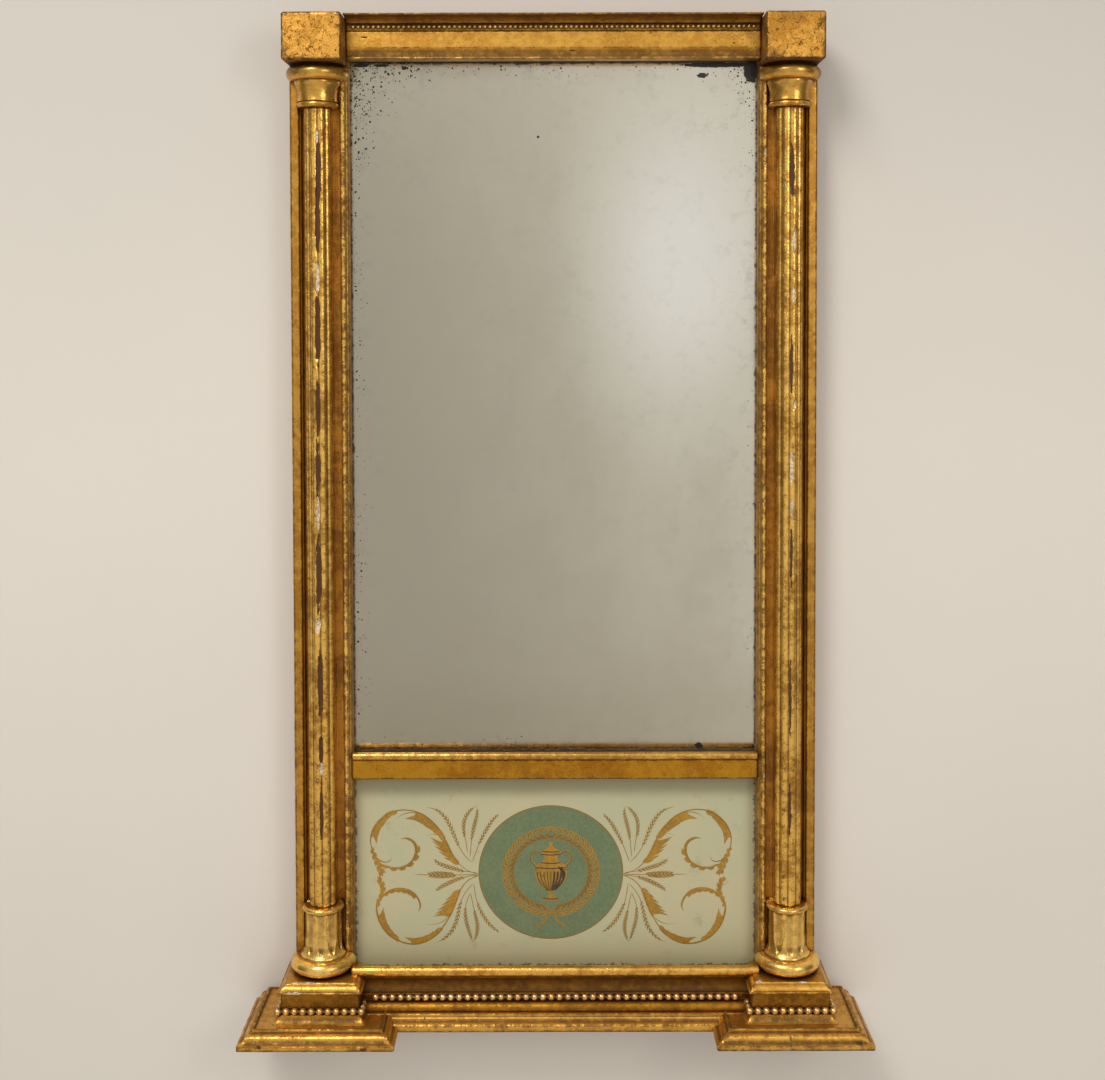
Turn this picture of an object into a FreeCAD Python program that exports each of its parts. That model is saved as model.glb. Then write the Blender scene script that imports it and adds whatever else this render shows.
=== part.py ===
import FreeCAD, Part
import Sketcher
import math
import os

# Gilt pier (trumeau) mirror: a pine carcass that carries a mirror plate over a painted
# glass panel, two reeded half columns between corner blocks and plinths, a beaded frieze
# and a beaded base rail, with two ring plates on its back to hang it by.
# Frame: X to the right, Z up, the back of the carcass on y = 0 and the front towards -Y.
# The base stands at z = 0 and x = 0 is the middle. All lengths are millimetres.

# name, length in mm, what it is
driving = [
    # openings and carcass
    ("sight_width", 471.0, "clear width between the stiles"),
    ("stile_width", 67.0, "width of one stile"),
    ("carcass_depth", 20.0, "thickness of the pine carcass"),
    ("carcass_height", 1150.0, "height of the stiles"),
    ("lip_depth", 8.0, "wood in front of the glass"),
    ("board_depth", 7.0, "thickness of a backboard and of its rebate"),
    ("glass_lap", 8.0, "width of the glass rebate"),
    ("board_lap", 20.0, "width of the backboard rebate"),
    ("top_rail_height", 38.0, "height of the top rail"),
    ("cross_rail_height", 26.0, "height of the cross rail"),
    ("cross_rail_low", 277.0, "height of the cross rail's lower edge"),
    ("base_rail_height", 49.0, "height of the bottom rail"),
    ("tenon_length", 34.0, "length of a rail's tenon"),
    ("tenon_shoulder", 7.0, "wood left above and below a tenon"),
    ("tenon_inset", 2.0, "tenon's distance behind the carcass face"),
    ("peg_radius", 3.0, "radius of a joint peg"),
    ("peg_clearance", 0.05, "radial play of pegs, nails and screws in their holes"),
    # plates and boards
    ("glass_thickness", 4.0, "thickness of the mirror and of the painted glass"),
    ("glass_clearance", 1.0, "play around the glass in its rebate"),
    ("board_clearance", 1.0, "play around the backboards"),
    ("mirror_board_count", 3.0, "number of boards behind the mirror"),
    ("nail_radius", 1.0, "radius of a backboard nail"),
    ("nail_head_radius", 2.2, "radius of a nail's head"),
    ("nail_head", 0.8, "thickness of a nail's head"),
    ("nail_length", 17.0, "length of a nail"),
    ("nail_margin", 40.0, "height of a nail above or below its board's edge"),
    # applied strips beside the columns
    ("band_thickness", 11.0, "thickness of the strips on the stiles"),
    ("outer_band_width", 13.0, "width of the outer strip"),
    ("inner_band_width", 10.0, "width of the inner strip"),
    ("band_edge", 1.5, "rounding of the strips' edges"),
    ("sight_step", 3.0, "width and depth of the step on the inner strip"),
    # columns
    ("column_shift", 2.5, "column's axis outwards of its channel's middle"),
    ("shaft_radius", 17.0, "radius over the reeds"),
    ("reed_count", 10.0, "number of reeds round the whole shaft"),
    ("reed_groove", 1.7, "depth of the grooves between reeds"),
    ("ring_height", 6.5, "height of the column's two rings"),
    ("ring_radius", 24.6, "radius of the rings"),
    ("shaft_low", 134.0, "height where the shaft stands on its base"),
    ("neck_radius", 24.0, "radius of the capital's neck"),
    ("bell_radius", 26.5, "radius of the fillet over the neck"),
    ("bell_fillet", 2.5, "height of that fillet"),
    ("capital_torus_radius", 35.5, "radius of the capital's torus"),
    ("capital_torus_height", 16.0, "height of the capital's torus"),
    ("capital_gap", 2.0, "height of the seat between torus and corner block"),
    ("capital_height", 48.5, "height of the capital with its ring"),
    ("drum_radius", 21.5, "radius of the column's drum"),
    ("flare_radius", 26.5, "radius of the drum's flared foot"),
    ("flare_height", 14.0, "height of the flared foot"),
    ("base_torus_radius", 37.6, "radius of the torus under the column"),
    ("base_torus_height", 17.5, "height of that torus"),
    ("flare_edge", 1.5, "height of the flared foot's edge"),
    ("flute_count", 10.0, "number of flutes round the whole drum"),
    ("flute_depth", 1.6, "depth of a flute of the drum"),
    ("flute_share", 0.92, "share of the drum's turn that its flutes take"),
    # corner blocks
    ("corner_width", 67.0, "width of a corner block"),
    ("corner_height", 53.5, "height of a corner block"),
    ("corner_depth", 55.0, "depth of a corner block in front of the carcass"),
    ("corner_edge", 3.5, "rounding of its edges"),
    ("corner_rise", 5.5, "corner block above the carcass"),
    # frieze
    ("frieze_board_depth", 20.0, "frieze's flat band in front of the carcass"),
    ("frieze_hollow_depth", 4.0, "depth of the hollow under the flat band"),
    ("frieze_lip_depth", 17.5, "lip at the mirror in front of the carcass"),
    ("frieze_lip", 2.5, "height of the lip at the mirror"),
    ("frieze_drop", 3.0, "frieze board below the top rail's edge"),
    ("frieze_hollow_height", 9.5, "height of the hollow under the flat band"),
    ("frieze_flat_height", 19.0, "height of the flat band"),
    ("cornice_seat", 8.5, "height of the face that carries the frieze's beads"),
    ("cornice_seat_depth", 18.0, "that face in front of the carcass"),
    ("cornice_cove_height", 6.0, "height of the cornice's cove"),
    ("cornice_cove_depth", 17.0, "how far the cornice's cove comes forward"),
    ("cornice_step", 2.0, "steps below and above the cornice's cove"),
    ("cornice_fillet", 2.5, "height of the cornice's top fillet"),
    ("frieze_bead_radius", 2.3, "radius of a bead of the frieze"),
    ("frieze_bead_pitch", 5.77, "distance between beads of the frieze"),
    # cross rail
    ("sight_bead_radius", 4.5, "half the height of the round moulding under the mirror"),
    ("sight_bead_seat", 3.0, "height of its seat on the cross rail"),
    ("sight_bead_depth", 13.0, "that moulding in front of the carcass"),
    ("cross_band_depth", 9.0, "cross rail's flat band in front of the carcass"),
    # base rail
    ("rail_torus_radius", 6.0, "half the height of the rail's torus"),
    ("rail_torus_depth", 31.0, "rail's torus in front of the carcass"),
    ("rail_cove_height", 36.0, "height of the strip with the cove and the ovolo"),
    ("rail_cove_depth", 22.0, "foot of the cove in front of the carcass"),
    ("rail_cove_top", 26.0, "top of the cove and the beads' seat in front of the carcass"),
    ("rail_cove_edge", 1.5, "height of the fillet over the cove"),
    ("rail_seat_height", 7.5, "height of the face that carries the rail's beads"),
    ("rail_ovolo_height", 9.0, "height of the rail's ovolo"),
    ("rail_ovolo_depth", 37.0, "rail's ovolo in front of the carcass"),
    ("rail_ovolo_top", 30.0, "top of the rail's ovolo in front of the carcass"),
    ("rail_foot_height", 17.0, "height of the rail's lowest strip"),
    ("rail_foot_depth", 50.0, "that strip in front of the carcass"),
    ("rail_foot_fillet", 41.5, "its upper fillet in front of the carcass"),
    ("rail_foot_edge", 5.0, "height of that strip's upright edge"),
    ("rail_foot_step", 4.0, "height of its upper fillet"),
    ("rail_foot_level", 1.0, "level step in front of its upper fillet"),
    ("rail_bead_radius", 4.25, "radius of a bead of the base rail"),
    ("rail_bead_pitch", 9.65, "distance between beads of the base rail"),
    # plinths, from the middle of the channel that holds the column
    ("die_half", 44.6, "half width of the plinth's die"),
    ("cap_top_half", 40.0, "half width of the cap's upper edge"),
    ("cap_low_half", 48.0, "half width of the cap's lower edge"),
    ("cap_height", 10.0, "height of the cap"),
    ("cap_fillet", 2.0, "height of the cap's lower fillet"),
    ("plinth_height", 58.0, "height of a plinth"),
    ("ovolo_half", 53.5, "half width of the ovolo's foot"),
    ("ovolo_top_half", 47.5, "half width of the ovolo's top"),
    ("cap_step", 2.0, "step of the cap over its lower fillet"),
    ("cap_edge", 1.5, "height of the cap's upper edge"),
    ("ovolo_height", 8.5, "height of the plinth's ovolo"),
    ("fillet_half", 74.0, "half width of the foot's raised fillet"),
    ("foot_half", 88.0, "half width of the foot"),
    ("foot_front", 80.0, "foot in front of the strips beside the column"),
    ("foot_fillet_height", 18.0, "height of the foot's raised fillet"),
    ("foot_flat_height", 16.0, "height of the flat inside the raised fillet"),
    ("foot_fillet_width", 3.0, "width of the raised fillet"),
    ("foot_fillet_step", 1.5, "level step in front of the raised fillet"),
    ("foot_step", 4.0, "height of the raised fillet's face"),
    ("foot_edge_height", 6.0, "height of the foot's upright edge"),
    ("plinth_bead_radius", 4.3, "radius of a bead of a plinth"),
    ("plinth_bead_pitch", 9.8, "distance between beads of a plinth"),
    ("bead_seat", 0.35, "share of a bead's radius that its flat back cuts off"),
    ("bead_string", 0.3, "radius of the string between beads, as a share of a bead's"),
    # ring plates
    ("plate_width", 20.0, "width of a ring plate"),
    ("plate_height", 34.0, "height of a ring plate above its barrel"),
    ("plate_thickness", 1.8, "thickness of a ring plate"),
    ("plate_drop", 110.0, "distance from the stile's top to the ring's axis"),
    ("barrel_radius", 3.2, "outer radius of the rolled barrel"),
    ("barrel_length", 16.0, "length of the rolled barrel"),
    ("wire_radius", 1.5, "radius of the ring's wire"),
    ("ring_play", 0.06, "radial play of the ring in its barrel"),
    ("ring_bend_radius", 15.0, "radius of the ring's centre line"),
    ("screw_radius", 1.6, "radius of a screw's shank"),
    ("screw_head_radius", 3.2, "radius of a screw's head"),
    ("screw_head", 1.4, "height of a screw's head"),
    ("screw_length", 14.0, "length of a screw in the wood"),
    ("screw_low", 8.0, "height of the lower screw above the ring's axis"),
    ("screw_high", 26.0, "height of the upper screw above the ring's axis"),
]


class Length:
    # A number that carries its own spreadsheet expression through sums and products.
    def __init__(self, number, text):
        self.number = float(number)
        self.text = text

    def _join(self, other, sign, number):
        return Length(number, "(%s %s %s)" % (self.text, sign, other.text))

    def __add__(self, other):
        other = length(other)
        return self._join(other, "+", self.number + other.number)

    def __sub__(self, other):
        other = length(other)
        return self._join(other, "-", self.number - other.number)

    def __mul__(self, other):
        other = length(other)
        return self._join(other, "*", self.number * other.number)

    def __truediv__(self, other):
        other = length(other)
        return self._join(other, "/", self.number / other.number)

    def __radd__(self, other):
        return length(other) + self

    def __rsub__(self, other):
        return length(other) - self

    def __rmul__(self, other):
        return length(other) * self

    def __neg__(self):
        return length(0.0) - self


def length(value):
    if isinstance(value, Length):
        return value
    return Length(value, "%.9g" % value)


def bind(thing, prop, value):
    thing.setExpression(prop, length(value).text)


doc = FreeCAD.newDocument("pier_mirror")
sheet = doc.addObject("Spreadsheet::Sheet", "Sizes")
for row, (name, number, meaning) in enumerate(driving, start=1):
    sheet.set("A%d" % row, meaning)
    sheet.set("B%d" % row, "%.9g" % number)
    sheet.setAlias("B%d" % row, name)
doc.recompute()


class Sizes:
    pass


size = Sizes()
for name, number, meaning in driving:
    setattr(size, name, Length(sheet.get(name), "Sizes.%s" % name))

# Planes and heights that several pieces share
half_sight = size.sight_width / 2
half_frame = half_sight + size.stile_width
face = -size.carcass_depth
band_face = face - size.band_thickness
lip_back = face + size.lip_depth
board_face = -size.board_depth
channel_low = half_sight + size.inner_band_width
channel_high = half_frame - size.outer_band_width
plinth_x = (channel_low + channel_high) / 2
column_x = plinth_x + size.column_shift
mirror_low = size.cross_rail_low + size.cross_rail_height
mirror_high = size.carcass_height - size.top_rail_height
panel_low = size.base_rail_height
panel_high = size.cross_rail_low
plinth_bead_z = size.foot_flat_height + size.ovolo_height + size.plinth_bead_radius
corner_low = size.carcass_height + size.corner_rise - size.corner_height
capital_low = corner_low - size.capital_height
ring_z = size.carcass_height - size.plate_drop
ring_y = size.barrel_radius
hanger_x = (half_sight + size.board_lap + half_frame) / 2
board_joint = size.cross_rail_low + size.cross_rail_height / 2
nail_x = half_sight + (size.glass_lap + size.board_lap) / 2
peg_x = half_sight + (size.board_lap + size.tenon_length) / 2
peg_hole = size.peg_radius + size.peg_clearance
half_frieze = column_x - size.corner_width / 2
nodes = []


def keep(thing, node):
    # Marks one document object as a finished sub-part.
    thing.Label = node
    nodes.append(thing)
    return thing


def box(name, xs, ys, zs):
    # A block between two values on each axis.
    made = doc.addObject("Part::Box", name)
    for prop, axis, (low, high) in zip(("Length", "Width", "Height"), "xyz", (xs, ys, zs)):
        bind(made, prop, length(high) - low)
        bind(made, "Placement.Base.%s" % axis, low)
    return made


def cylinderY(name, radius, x, ys, z):
    # A round bar along Y.
    made = doc.addObject("Part::Cylinder", name)
    made.Placement.Rotation = FreeCAD.Rotation(FreeCAD.Vector(1, 0, 0), -90)
    bind(made, "Radius", radius)
    bind(made, "Height", length(ys[1]) - ys[0])
    for axis, value in zip("xyz", (x, ys[0], z)):
        bind(made, "Placement.Base.%s" % axis, value)
    return made


def cylinderX(name, radius, xs, y, z):
    # A round bar along X.
    made = doc.addObject("Part::Cylinder", name)
    made.Placement.Rotation = FreeCAD.Rotation(FreeCAD.Vector(0, 1, 0), 90)
    bind(made, "Radius", radius)
    bind(made, "Height", length(xs[1]) - xs[0])
    for axis, value in zip("xyz", (xs[0], y, z)):
        bind(made, "Placement.Base.%s" % axis, value)
    return made


def fuse(name, shapes):
    if len(shapes) == 1:
        return shapes[0]
    made = doc.addObject("Part::MultiFuse", name)
    made.Shapes = shapes
    made.Refine = True
    return made


def cut(name, base, tool):
    made = doc.addObject("Part::Cut", name)
    made.Base = base
    made.Tool = tool
    return made


def common(name, first, second):
    made = doc.addObject("Part::Common", name)
    made.Base = first
    made.Tool = second
    return made


def originPart(body, role):
    for feature in body.Origin.OriginFeatures:
        if feature.Role == role:
            return feature
    raise ValueError(role)


def arcOf(start, end, bulge):
    # The arc between two points whose height is half the chord times bulge, to the left
    # of the way from start to end where bulge is positive and to the right otherwise.
    dx = end[0] - start[0]
    dy = end[1] - start[1]
    chord = math.hypot(dx, dy)
    height = chord / 2 * abs(bulge)
    radius = (chord * chord / 4 + height * height) / (2 * height)
    side = 1.0 if bulge > 0 else -1.0
    away = (radius - height) * side
    centre = FreeCAD.Vector((start[0] + end[0]) / 2 + dy / chord * away,
                            (start[1] + end[1]) / 2 - dx / chord * away, 0)
    angles = [math.atan2(p[1] - centre.y, p[0] - centre.x) for p in (start, end)]
    if bulge > 0:
        angles.reverse()
    if angles[1] < angles[0]:
        angles[1] += 2 * math.pi
    circle = Part.Circle(centre, FreeCAD.Vector(0, 0, 1), radius)
    return Part.ArcOfCircle(circle, angles[0], angles[1])


def outline(body, role, points):
    # A closed sketch on one of the body's own planes. Each point is (across, up) or
    # (across, up, bulge), where bulge bends the side from it to the next point.
    sketch = body.newObject("Sketcher::SketchObject", body.Name + "_outline")
    sketch.AttachmentSupport = (originPart(body, role), [""])
    sketch.MapMode = "FlatFace"
    corners = [(length(p[0]), length(p[1])) for p in points]
    bulges = [p[2] if len(p) > 2 else 0.0 for p in points]
    count = len(points)
    ends = []
    for i in range(count):
        start = (corners[i][0].number, corners[i][1].number)
        end = (corners[(i + 1) % count][0].number, corners[(i + 1) % count][1].number)
        if bulges[i] == 0.0:
            made = sketch.addGeometry(Part.LineSegment(FreeCAD.Vector(*start, 0),
                                                       FreeCAD.Vector(*end, 0)), False)
        else:
            made = sketch.addGeometry(arcOf(start, end, bulges[i]), False)
        ends.append((made, 2, 1) if bulges[i] > 0 else (made, 1, 2))
    for i in range(count):
        here = ends[i]
        following = ends[(i + 1) % count]
        sketch.addConstraint(Sketcher.Constraint("Coincident", here[0], here[2],
                                                 following[0], following[1]))
    for i in range(count):
        for kind, value in zip(("DistanceX", "DistanceY"), corners[i]):
            put = sketch.addConstraint(Sketcher.Constraint(kind, -1, 1, ends[i][0],
                                                           ends[i][1], value.number))
            sketch.setExpression("Constraints[%d]" % put, value.text)
    for i in range(count):
        if bulges[i] != 0.0:
            bendSide(sketch, ends[i][0], corners[i], corners[(i + 1) % count], bulges[i])
    return sketch


def bendSide(sketch, curve, start, end, bulge):
    # A half round has its centre on the chord's middle; other arcs have a radius.
    across = end[0] - start[0]
    up = end[1] - start[1]
    if abs(bulge) == 1.0:
        upright = abs(up.number) > abs(across.number)
        kind = "DistanceX" if upright else "DistanceY"
        pick = 0 if upright else 1
        middle = (start[pick] + end[pick]) / 2
        put = sketch.addConstraint(Sketcher.Constraint(kind, -1, 1, curve, 3, middle.number))
        sketch.setExpression("Constraints[%d]" % put, middle.text)
        return
    share = (1 + bulge * bulge) / (4 * abs(bulge))
    radius = math.hypot(across.number, up.number) * share
    put = sketch.addConstraint(Sketcher.Constraint("Radius", curve, radius))
    text = "sqrt(pow(%s; 2) + pow(%s; 2)) * %.9g" % (across.text, up.text, share)
    sketch.setExpression("Constraints[%d]" % put, text)


def padded(name, role, points, depth):
    # An outline padded to both sides of its plane.
    body = doc.addObject("PartDesign::Body", name)
    sketch = outline(body, role, points)
    pad = body.newObject("PartDesign::Pad", name + "_pad")
    pad.Profile = sketch
    pad.Midplane = True
    bind(pad, "Length", depth)
    return body


def turned(name, points):
    # An outline of (radius, height) points turned about Z.
    body = doc.addObject("PartDesign::Body", name)
    sketch = outline(body, "XZ_Plane", points)
    turn = body.newObject("PartDesign::Revolution", name + "_turn")
    turn.Profile = sketch
    turn.ReferenceAxis = (sketch, ["V_Axis"])
    turn.Angle = 360.0
    return body


def place(thing, x=0.0, y=0.0, z=0.0):
    for axis, value in zip("xyz", (x, y, z)):
        bind(thing, "Placement.Base.%s" % axis, value)
    return thing


def strip(name, points, reach):
    # A moulding along X: points are (depth in front of the carcass, height).
    turned_points = []
    for point in points:
        turned_points.append((face - point[0],) + tuple(point[1:]))
    return padded(name, "YZ_Plane", turned_points, reach)


sides = (("left", -1.0), ("right", 1.0))
# How far a side bends, as a share of half its length
convex = 0.41
concave = -0.41
half_round = 1.0
shallow = 0.3
faint = 0.16
deep = 0.45
flush = 1e-6


def span(sign, low, high):
    # The same stretch on the left or the right of the middle.
    if sign > 0:
        return (low, high)
    return (-length(high), -length(low))


# Rails as (node, low, high, has glass below, has glass above)
rails = (
    ("top_rail", mirror_high, size.carcass_height, True, False),
    ("cross_rail", size.cross_rail_low, mirror_low, True, True),
    ("bottom_rail", length(0.0), size.base_rail_height, False, True),
)
# Backboards as (node, low, high)
mirror_board_low = board_joint + size.board_clearance / 2
mirror_board_high = mirror_high + size.board_lap - size.board_clearance
mirror_boards = int(round(size.mirror_board_count.number))
mirror_board_step = (mirror_board_high + size.board_clearance - mirror_board_low) / mirror_boards
boards = [("panel_backboard", panel_low - size.board_lap,
           board_joint - size.board_clearance / 2)]
for number in range(mirror_boards):
    low = mirror_board_low + mirror_board_step * number
    boards.append(("mirror_backboard_%d" % (number + 1), low,
                   low + mirror_board_step - size.board_clearance))


def nailPlaces():
    # Each board has a nail near each of its corners.
    places = []
    for node, low, high in boards:
        for sign in (-1.0, 1.0):
            for z in (low + size.nail_margin, high - size.nail_margin):
                places.append((node, nail_x * sign, z))
    return places


def screwPlaces():
    return [(hanger_x * sign, ring_z + up)
            for side, sign in sides for up in (size.screw_low, size.screw_high)]


def pegPlaces():
    return [(peg_x * sign, (low + high) / 2)
            for node, low, high, below, above in rails for side, sign in sides]


def stile(side, sign):
    name = side + "_stile"
    blank = box(name + "_blank", span(sign, half_sight, half_frame), (face, 0.0),
                (0.0, size.carcass_height))
    cuts = [
        box(name + "_glass_rebate", span(sign, half_sight, half_sight + size.glass_lap),
            (lip_back, board_face), (0.0, size.carcass_height)),
        box(name + "_board_rebate", span(sign, half_sight, half_sight + size.board_lap),
            (board_face, 0.0), (0.0, size.carcass_height)),
    ]
    for node, low, high, below, above in rails:
        cuts.append(box(name + "_mortise_" + node,
                        span(sign, half_sight, half_sight + size.tenon_length),
                        (face + size.tenon_inset, lip_back),
                        (low + size.tenon_shoulder, high - size.tenon_shoulder)))
    holes = []
    for x, z in pegPlaces():
        if x.number * sign > 0:
            holes.append((peg_hole, x, (face + size.tenon_inset, 0.0), z))
    for node, x, z in nailPlaces():
        if x.number * sign > 0:
            holes.append((size.nail_radius + size.peg_clearance, x,
                          (-size.nail_length, board_face), z))
    for x, z in screwPlaces():
        if x.number * sign > 0:
            holes.append((size.screw_radius + size.peg_clearance, x,
                          (-size.screw_length, 0.0), z))
    for number, (radius, x, ys, z) in enumerate(holes):
        cuts.append(cylinderY("%s_hole_%d" % (name, number), radius, x, ys, z))
    keep(cut(name, blank, fuse(name + "_cuts", cuts)), name)


def rail(node, low, high, below, above):
    # Face, glass layer and board layer, each shorter where glass or boards lie, and a tenon.
    parts = [box(node + "_face", (-half_sight, half_sight), (face, lip_back), (low, high))]
    reach = half_sight + size.glass_lap
    parts.append(box(node + "_middle", (-reach, reach), (lip_back, board_face),
                     (low + size.glass_lap if below else low,
                      high - size.glass_lap if above else high)))
    if not (below and above):
        reach = half_sight + size.board_lap
        parts.append(box(node + "_back", (-reach, reach), (board_face, 0.0),
                         (low + size.board_lap if below else low,
                          high - size.board_lap if above else high)))
    reach = half_sight + size.tenon_length
    parts.append(box(node + "_tenon", (-reach, reach), (face + size.tenon_inset, lip_back),
                     (low + size.tenon_shoulder, high - size.tenon_shoulder)))
    holes = []
    for number, (side, sign) in enumerate(sides):
        holes.append(cylinderY("%s_peg_hole_%d" % (node, number), peg_hole, peg_x * sign,
                               (face + size.tenon_inset, lip_back), (low + high) / 2))
    keep(cut(node, fuse(node + "_blank", parts), fuse(node + "_holes", holes)), node)


def gather(node, shapes):
    # Several separate solids kept as one sub-part.
    made = doc.addObject("Part::Compound", node)
    made.Links = shapes
    keep(made, node)


def pegs():
    gather("joint_pegs", [
        cylinderY("joint_peg_%d" % number, size.peg_radius, x,
                  (face + size.tenon_inset, 0.0), z)
        for number, (x, z) in enumerate(pegPlaces())])


def plates():
    for node, low, high in (("mirror_glass", mirror_low, mirror_high),
                            ("painted_glass_panel", panel_low, panel_high)):
        reach = half_sight + size.glass_lap - size.glass_clearance
        keep(box(node, (-reach, reach), (lip_back, lip_back + size.glass_thickness),
                 (low - size.glass_lap, high + size.glass_lap - 2 * size.glass_clearance)),
             node)


def backboards():
    reach = half_sight + size.board_lap - size.board_clearance
    for node, low, high in boards:
        blank = box(node + "_blank", (-reach, reach), (board_face, 0.0), (low, high))
        holes = []
        for number, (owner, x, z) in enumerate(nailPlaces()):
            if owner != node:
                continue
            holes.append(cylinderY("%s_hole_%d" % (node, number),
                                   size.nail_radius + size.peg_clearance, x,
                                   (board_face, 0.0), z))
            holes.append(cylinderY("%s_sink_%d" % (node, number),
                                   size.nail_head_radius + size.peg_clearance, x,
                                   (-size.nail_head, 0.0), z))
        keep(cut(node, blank, fuse(node + "_holes", holes)), node)


def pin(name, radius, head_radius, x, ys, z):
    # A nail or screw: shank from ys[0] to ys[1] and a head from there to ys[2].
    return fuse(name, [cylinderY(name + "_shank", radius, x, (ys[0], ys[2]), z),
                       cylinderY(name + "_head", head_radius, x, (ys[1], ys[2]), z)])


def nails():
    gather("backboard_nails", [
        pin("nail_%d" % number, size.nail_radius, size.nail_head_radius, x,
            (-size.nail_length, -size.nail_head, length(0.0)), z)
        for number, (node, x, z) in enumerate(nailPlaces())])


def bands(side, sign):
    # The strips beside a column: a plain outer one and an inner one with a step.
    thick = size.band_thickness
    edge = size.band_edge
    step = size.sight_step
    low = size.plinth_height
    high = corner_low
    turn = convex * sign
    x = channel_high * sign
    end = half_frame * sign
    outer = padded(side + "_outer_band", "XY_Plane", [
        (x, face), (x, band_face + edge, turn), (x + edge * sign, band_face),
        (end - edge * sign, band_face, turn), (end, band_face + edge), (end, face)],
        high - low)
    x = half_sight * sign
    end = channel_low * sign
    inner = padded(side + "_inner_band", "XY_Plane", [
        (x, face), (x, face - thick + step + edge, turn),
        (x + edge * sign, face - thick + step), (x + step * sign, face - thick + step),
        (x + step * sign, band_face + edge, turn), (x + (step + edge) * sign, band_face),
        (end - edge * sign, band_face, turn), (end, band_face + edge), (end, face)],
        high - low)
    for band in (outer, inner):
        place(band, z=(low + high) / 2)
        keep(band, band.Name)


def carcassSpace(name, sign):
    # All that lies behind the carcass face, and the strips beside a column.
    reach = plinth_x + size.foot_half
    parts = [
        box(name + "_carcass", (-reach, reach), (face, size.foot_front),
            (0.0, size.carcass_height)),
        box(name + "_outer", span(sign, channel_high, half_frame), (band_face, face),
            (0.0, size.carcass_height)),
        box(name + "_inner", span(sign, half_sight, channel_low), (band_face, face),
            (0.0, size.carcass_height)),
    ]
    return fuse(name, parts)


def shaft(side, sign):
    # Reeds round the front half, with straight cheeks back into the channel.
    core = size.shaft_radius - size.reed_groove
    count = int(round(size.reed_count.number / 2))
    half_turn = math.pi / count / 2
    bend = (size.shaft_radius.number / core.number - math.cos(half_turn)) / math.sin(half_turn)
    points = []
    for number in range(count + 1):
        angle = math.pi + math.pi * number / count
        point = (core * math.cos(angle), core * math.sin(angle))
        points.append(point + (-bend,) if number < count else point)
    points.append((core, size.band_thickness))
    points.append((-core, size.band_thickness))
    node = side + "_column_shaft"
    body = padded(node, "XY_Plane", points, capital_low - size.shaft_low)
    place(body, column_x * sign, band_face, (capital_low + size.shaft_low) / 2)
    keep(body, node)


def capital(side, sign):
    node = side + "_capital"
    ring = size.ring_height
    torus_low = corner_low - size.capital_gap - size.capital_torus_height
    torus_core = size.capital_torus_radius - size.capital_torus_height / 2
    ring_core = size.ring_radius - ring / 2
    fillet_low = torus_low - size.bell_fillet
    body = turned(node + "_turned", [
        (0.0, capital_low), (ring_core, capital_low, -half_round),
        (ring_core, capital_low + ring), (size.neck_radius, capital_low + ring, faint),
        (size.bell_radius, fillet_low), (size.bell_radius, torus_low),
        (torus_core, torus_low, -half_round),
        (torus_core, torus_low + size.capital_torus_height),
        (torus_core, corner_low), (0.0, corner_low)])
    place(body, column_x * sign, band_face)
    keep(cut(node, body, carcassSpace(node + "_seat", sign)), node)


def columnBase(side, sign):
    # Torus, flared and fluted drum and ring.
    node = side + "_column_base"
    low = size.plinth_height
    torus_top = low + size.base_torus_height
    torus_core = size.base_torus_radius - size.base_torus_height / 2
    flare_top = torus_top + size.flare_height
    ring_low = size.shaft_low - size.ring_height
    ring_core = size.ring_radius - size.ring_height / 2
    body = turned(node + "_turned", [
        (0.0, low), (torus_core, low, -half_round), (torus_core, torus_top),
        (size.flare_radius, torus_top),
        (size.flare_radius, torus_top + size.flare_edge, shallow),
        (size.drum_radius, flare_top), (size.drum_radius, ring_low),
        (ring_core, ring_low, -half_round), (ring_core, size.shaft_low),
        (0.0, size.shaft_low)])
    place(body, column_x * sign, band_face)
    flutes = []
    turn = 2 * math.pi / size.flute_count.number
    half_chord = size.drum_radius * math.sin(turn / 2) * size.flute_share
    cutter = (half_chord * half_chord + size.flute_depth * size.flute_depth) \
        / (size.flute_depth * 2)
    away = size.drum_radius - size.flute_depth + cutter
    for number in range(int(size.flute_count.number / 2)):
        angle = math.pi + turn * (number + 0.5)
        flute = doc.addObject("Part::Cylinder", "%s_flute_%d" % (node, number))
        bind(flute, "Radius", cutter)
        bind(flute, "Height", ring_low - flare_top)
        place(flute, column_x * sign + away * math.cos(angle),
              band_face + away * math.sin(angle), flare_top)
        flutes.append(flute)
    tool = fuse(node + "_cuts", flutes + [carcassSpace(node + "_seat", sign)])
    keep(cut(node, body, tool), node)
    return body


def cornerBlock(side, sign):
    # A block whose edges are rounded everywhere but at its back.
    node = side + "_corner_block"
    half = size.corner_width / 2
    body = doc.addObject("PartDesign::Body", node)
    sketch = outline(body, "XZ_Plane", [
        (-half, 0.0), (half, 0.0), (half, size.corner_height), (-half, size.corner_height)])
    pad = body.newObject("PartDesign::Pad", node + "_pad")
    pad.Profile = sketch
    bind(pad, "Length", size.corner_depth)
    doc.recompute()
    back = pad.Shape.BoundBox.YMax
    if abs(back) > flush:
        pad.Reversed = True
        doc.recompute()
        back = pad.Shape.BoundBox.YMax
    edges = []
    for number, edge in enumerate(pad.Shape.Edges, start=1):
        if edge.BoundBox.YMin < back - flush:
            edges.append("Edge%d" % number)
    rounding = body.newObject("PartDesign::Fillet", node + "_edges")
    rounding.Base = (pad, edges)
    bind(rounding, "Radius", size.corner_edge)
    place(body, column_x * sign, face, corner_low)
    keep(body, node)


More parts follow.
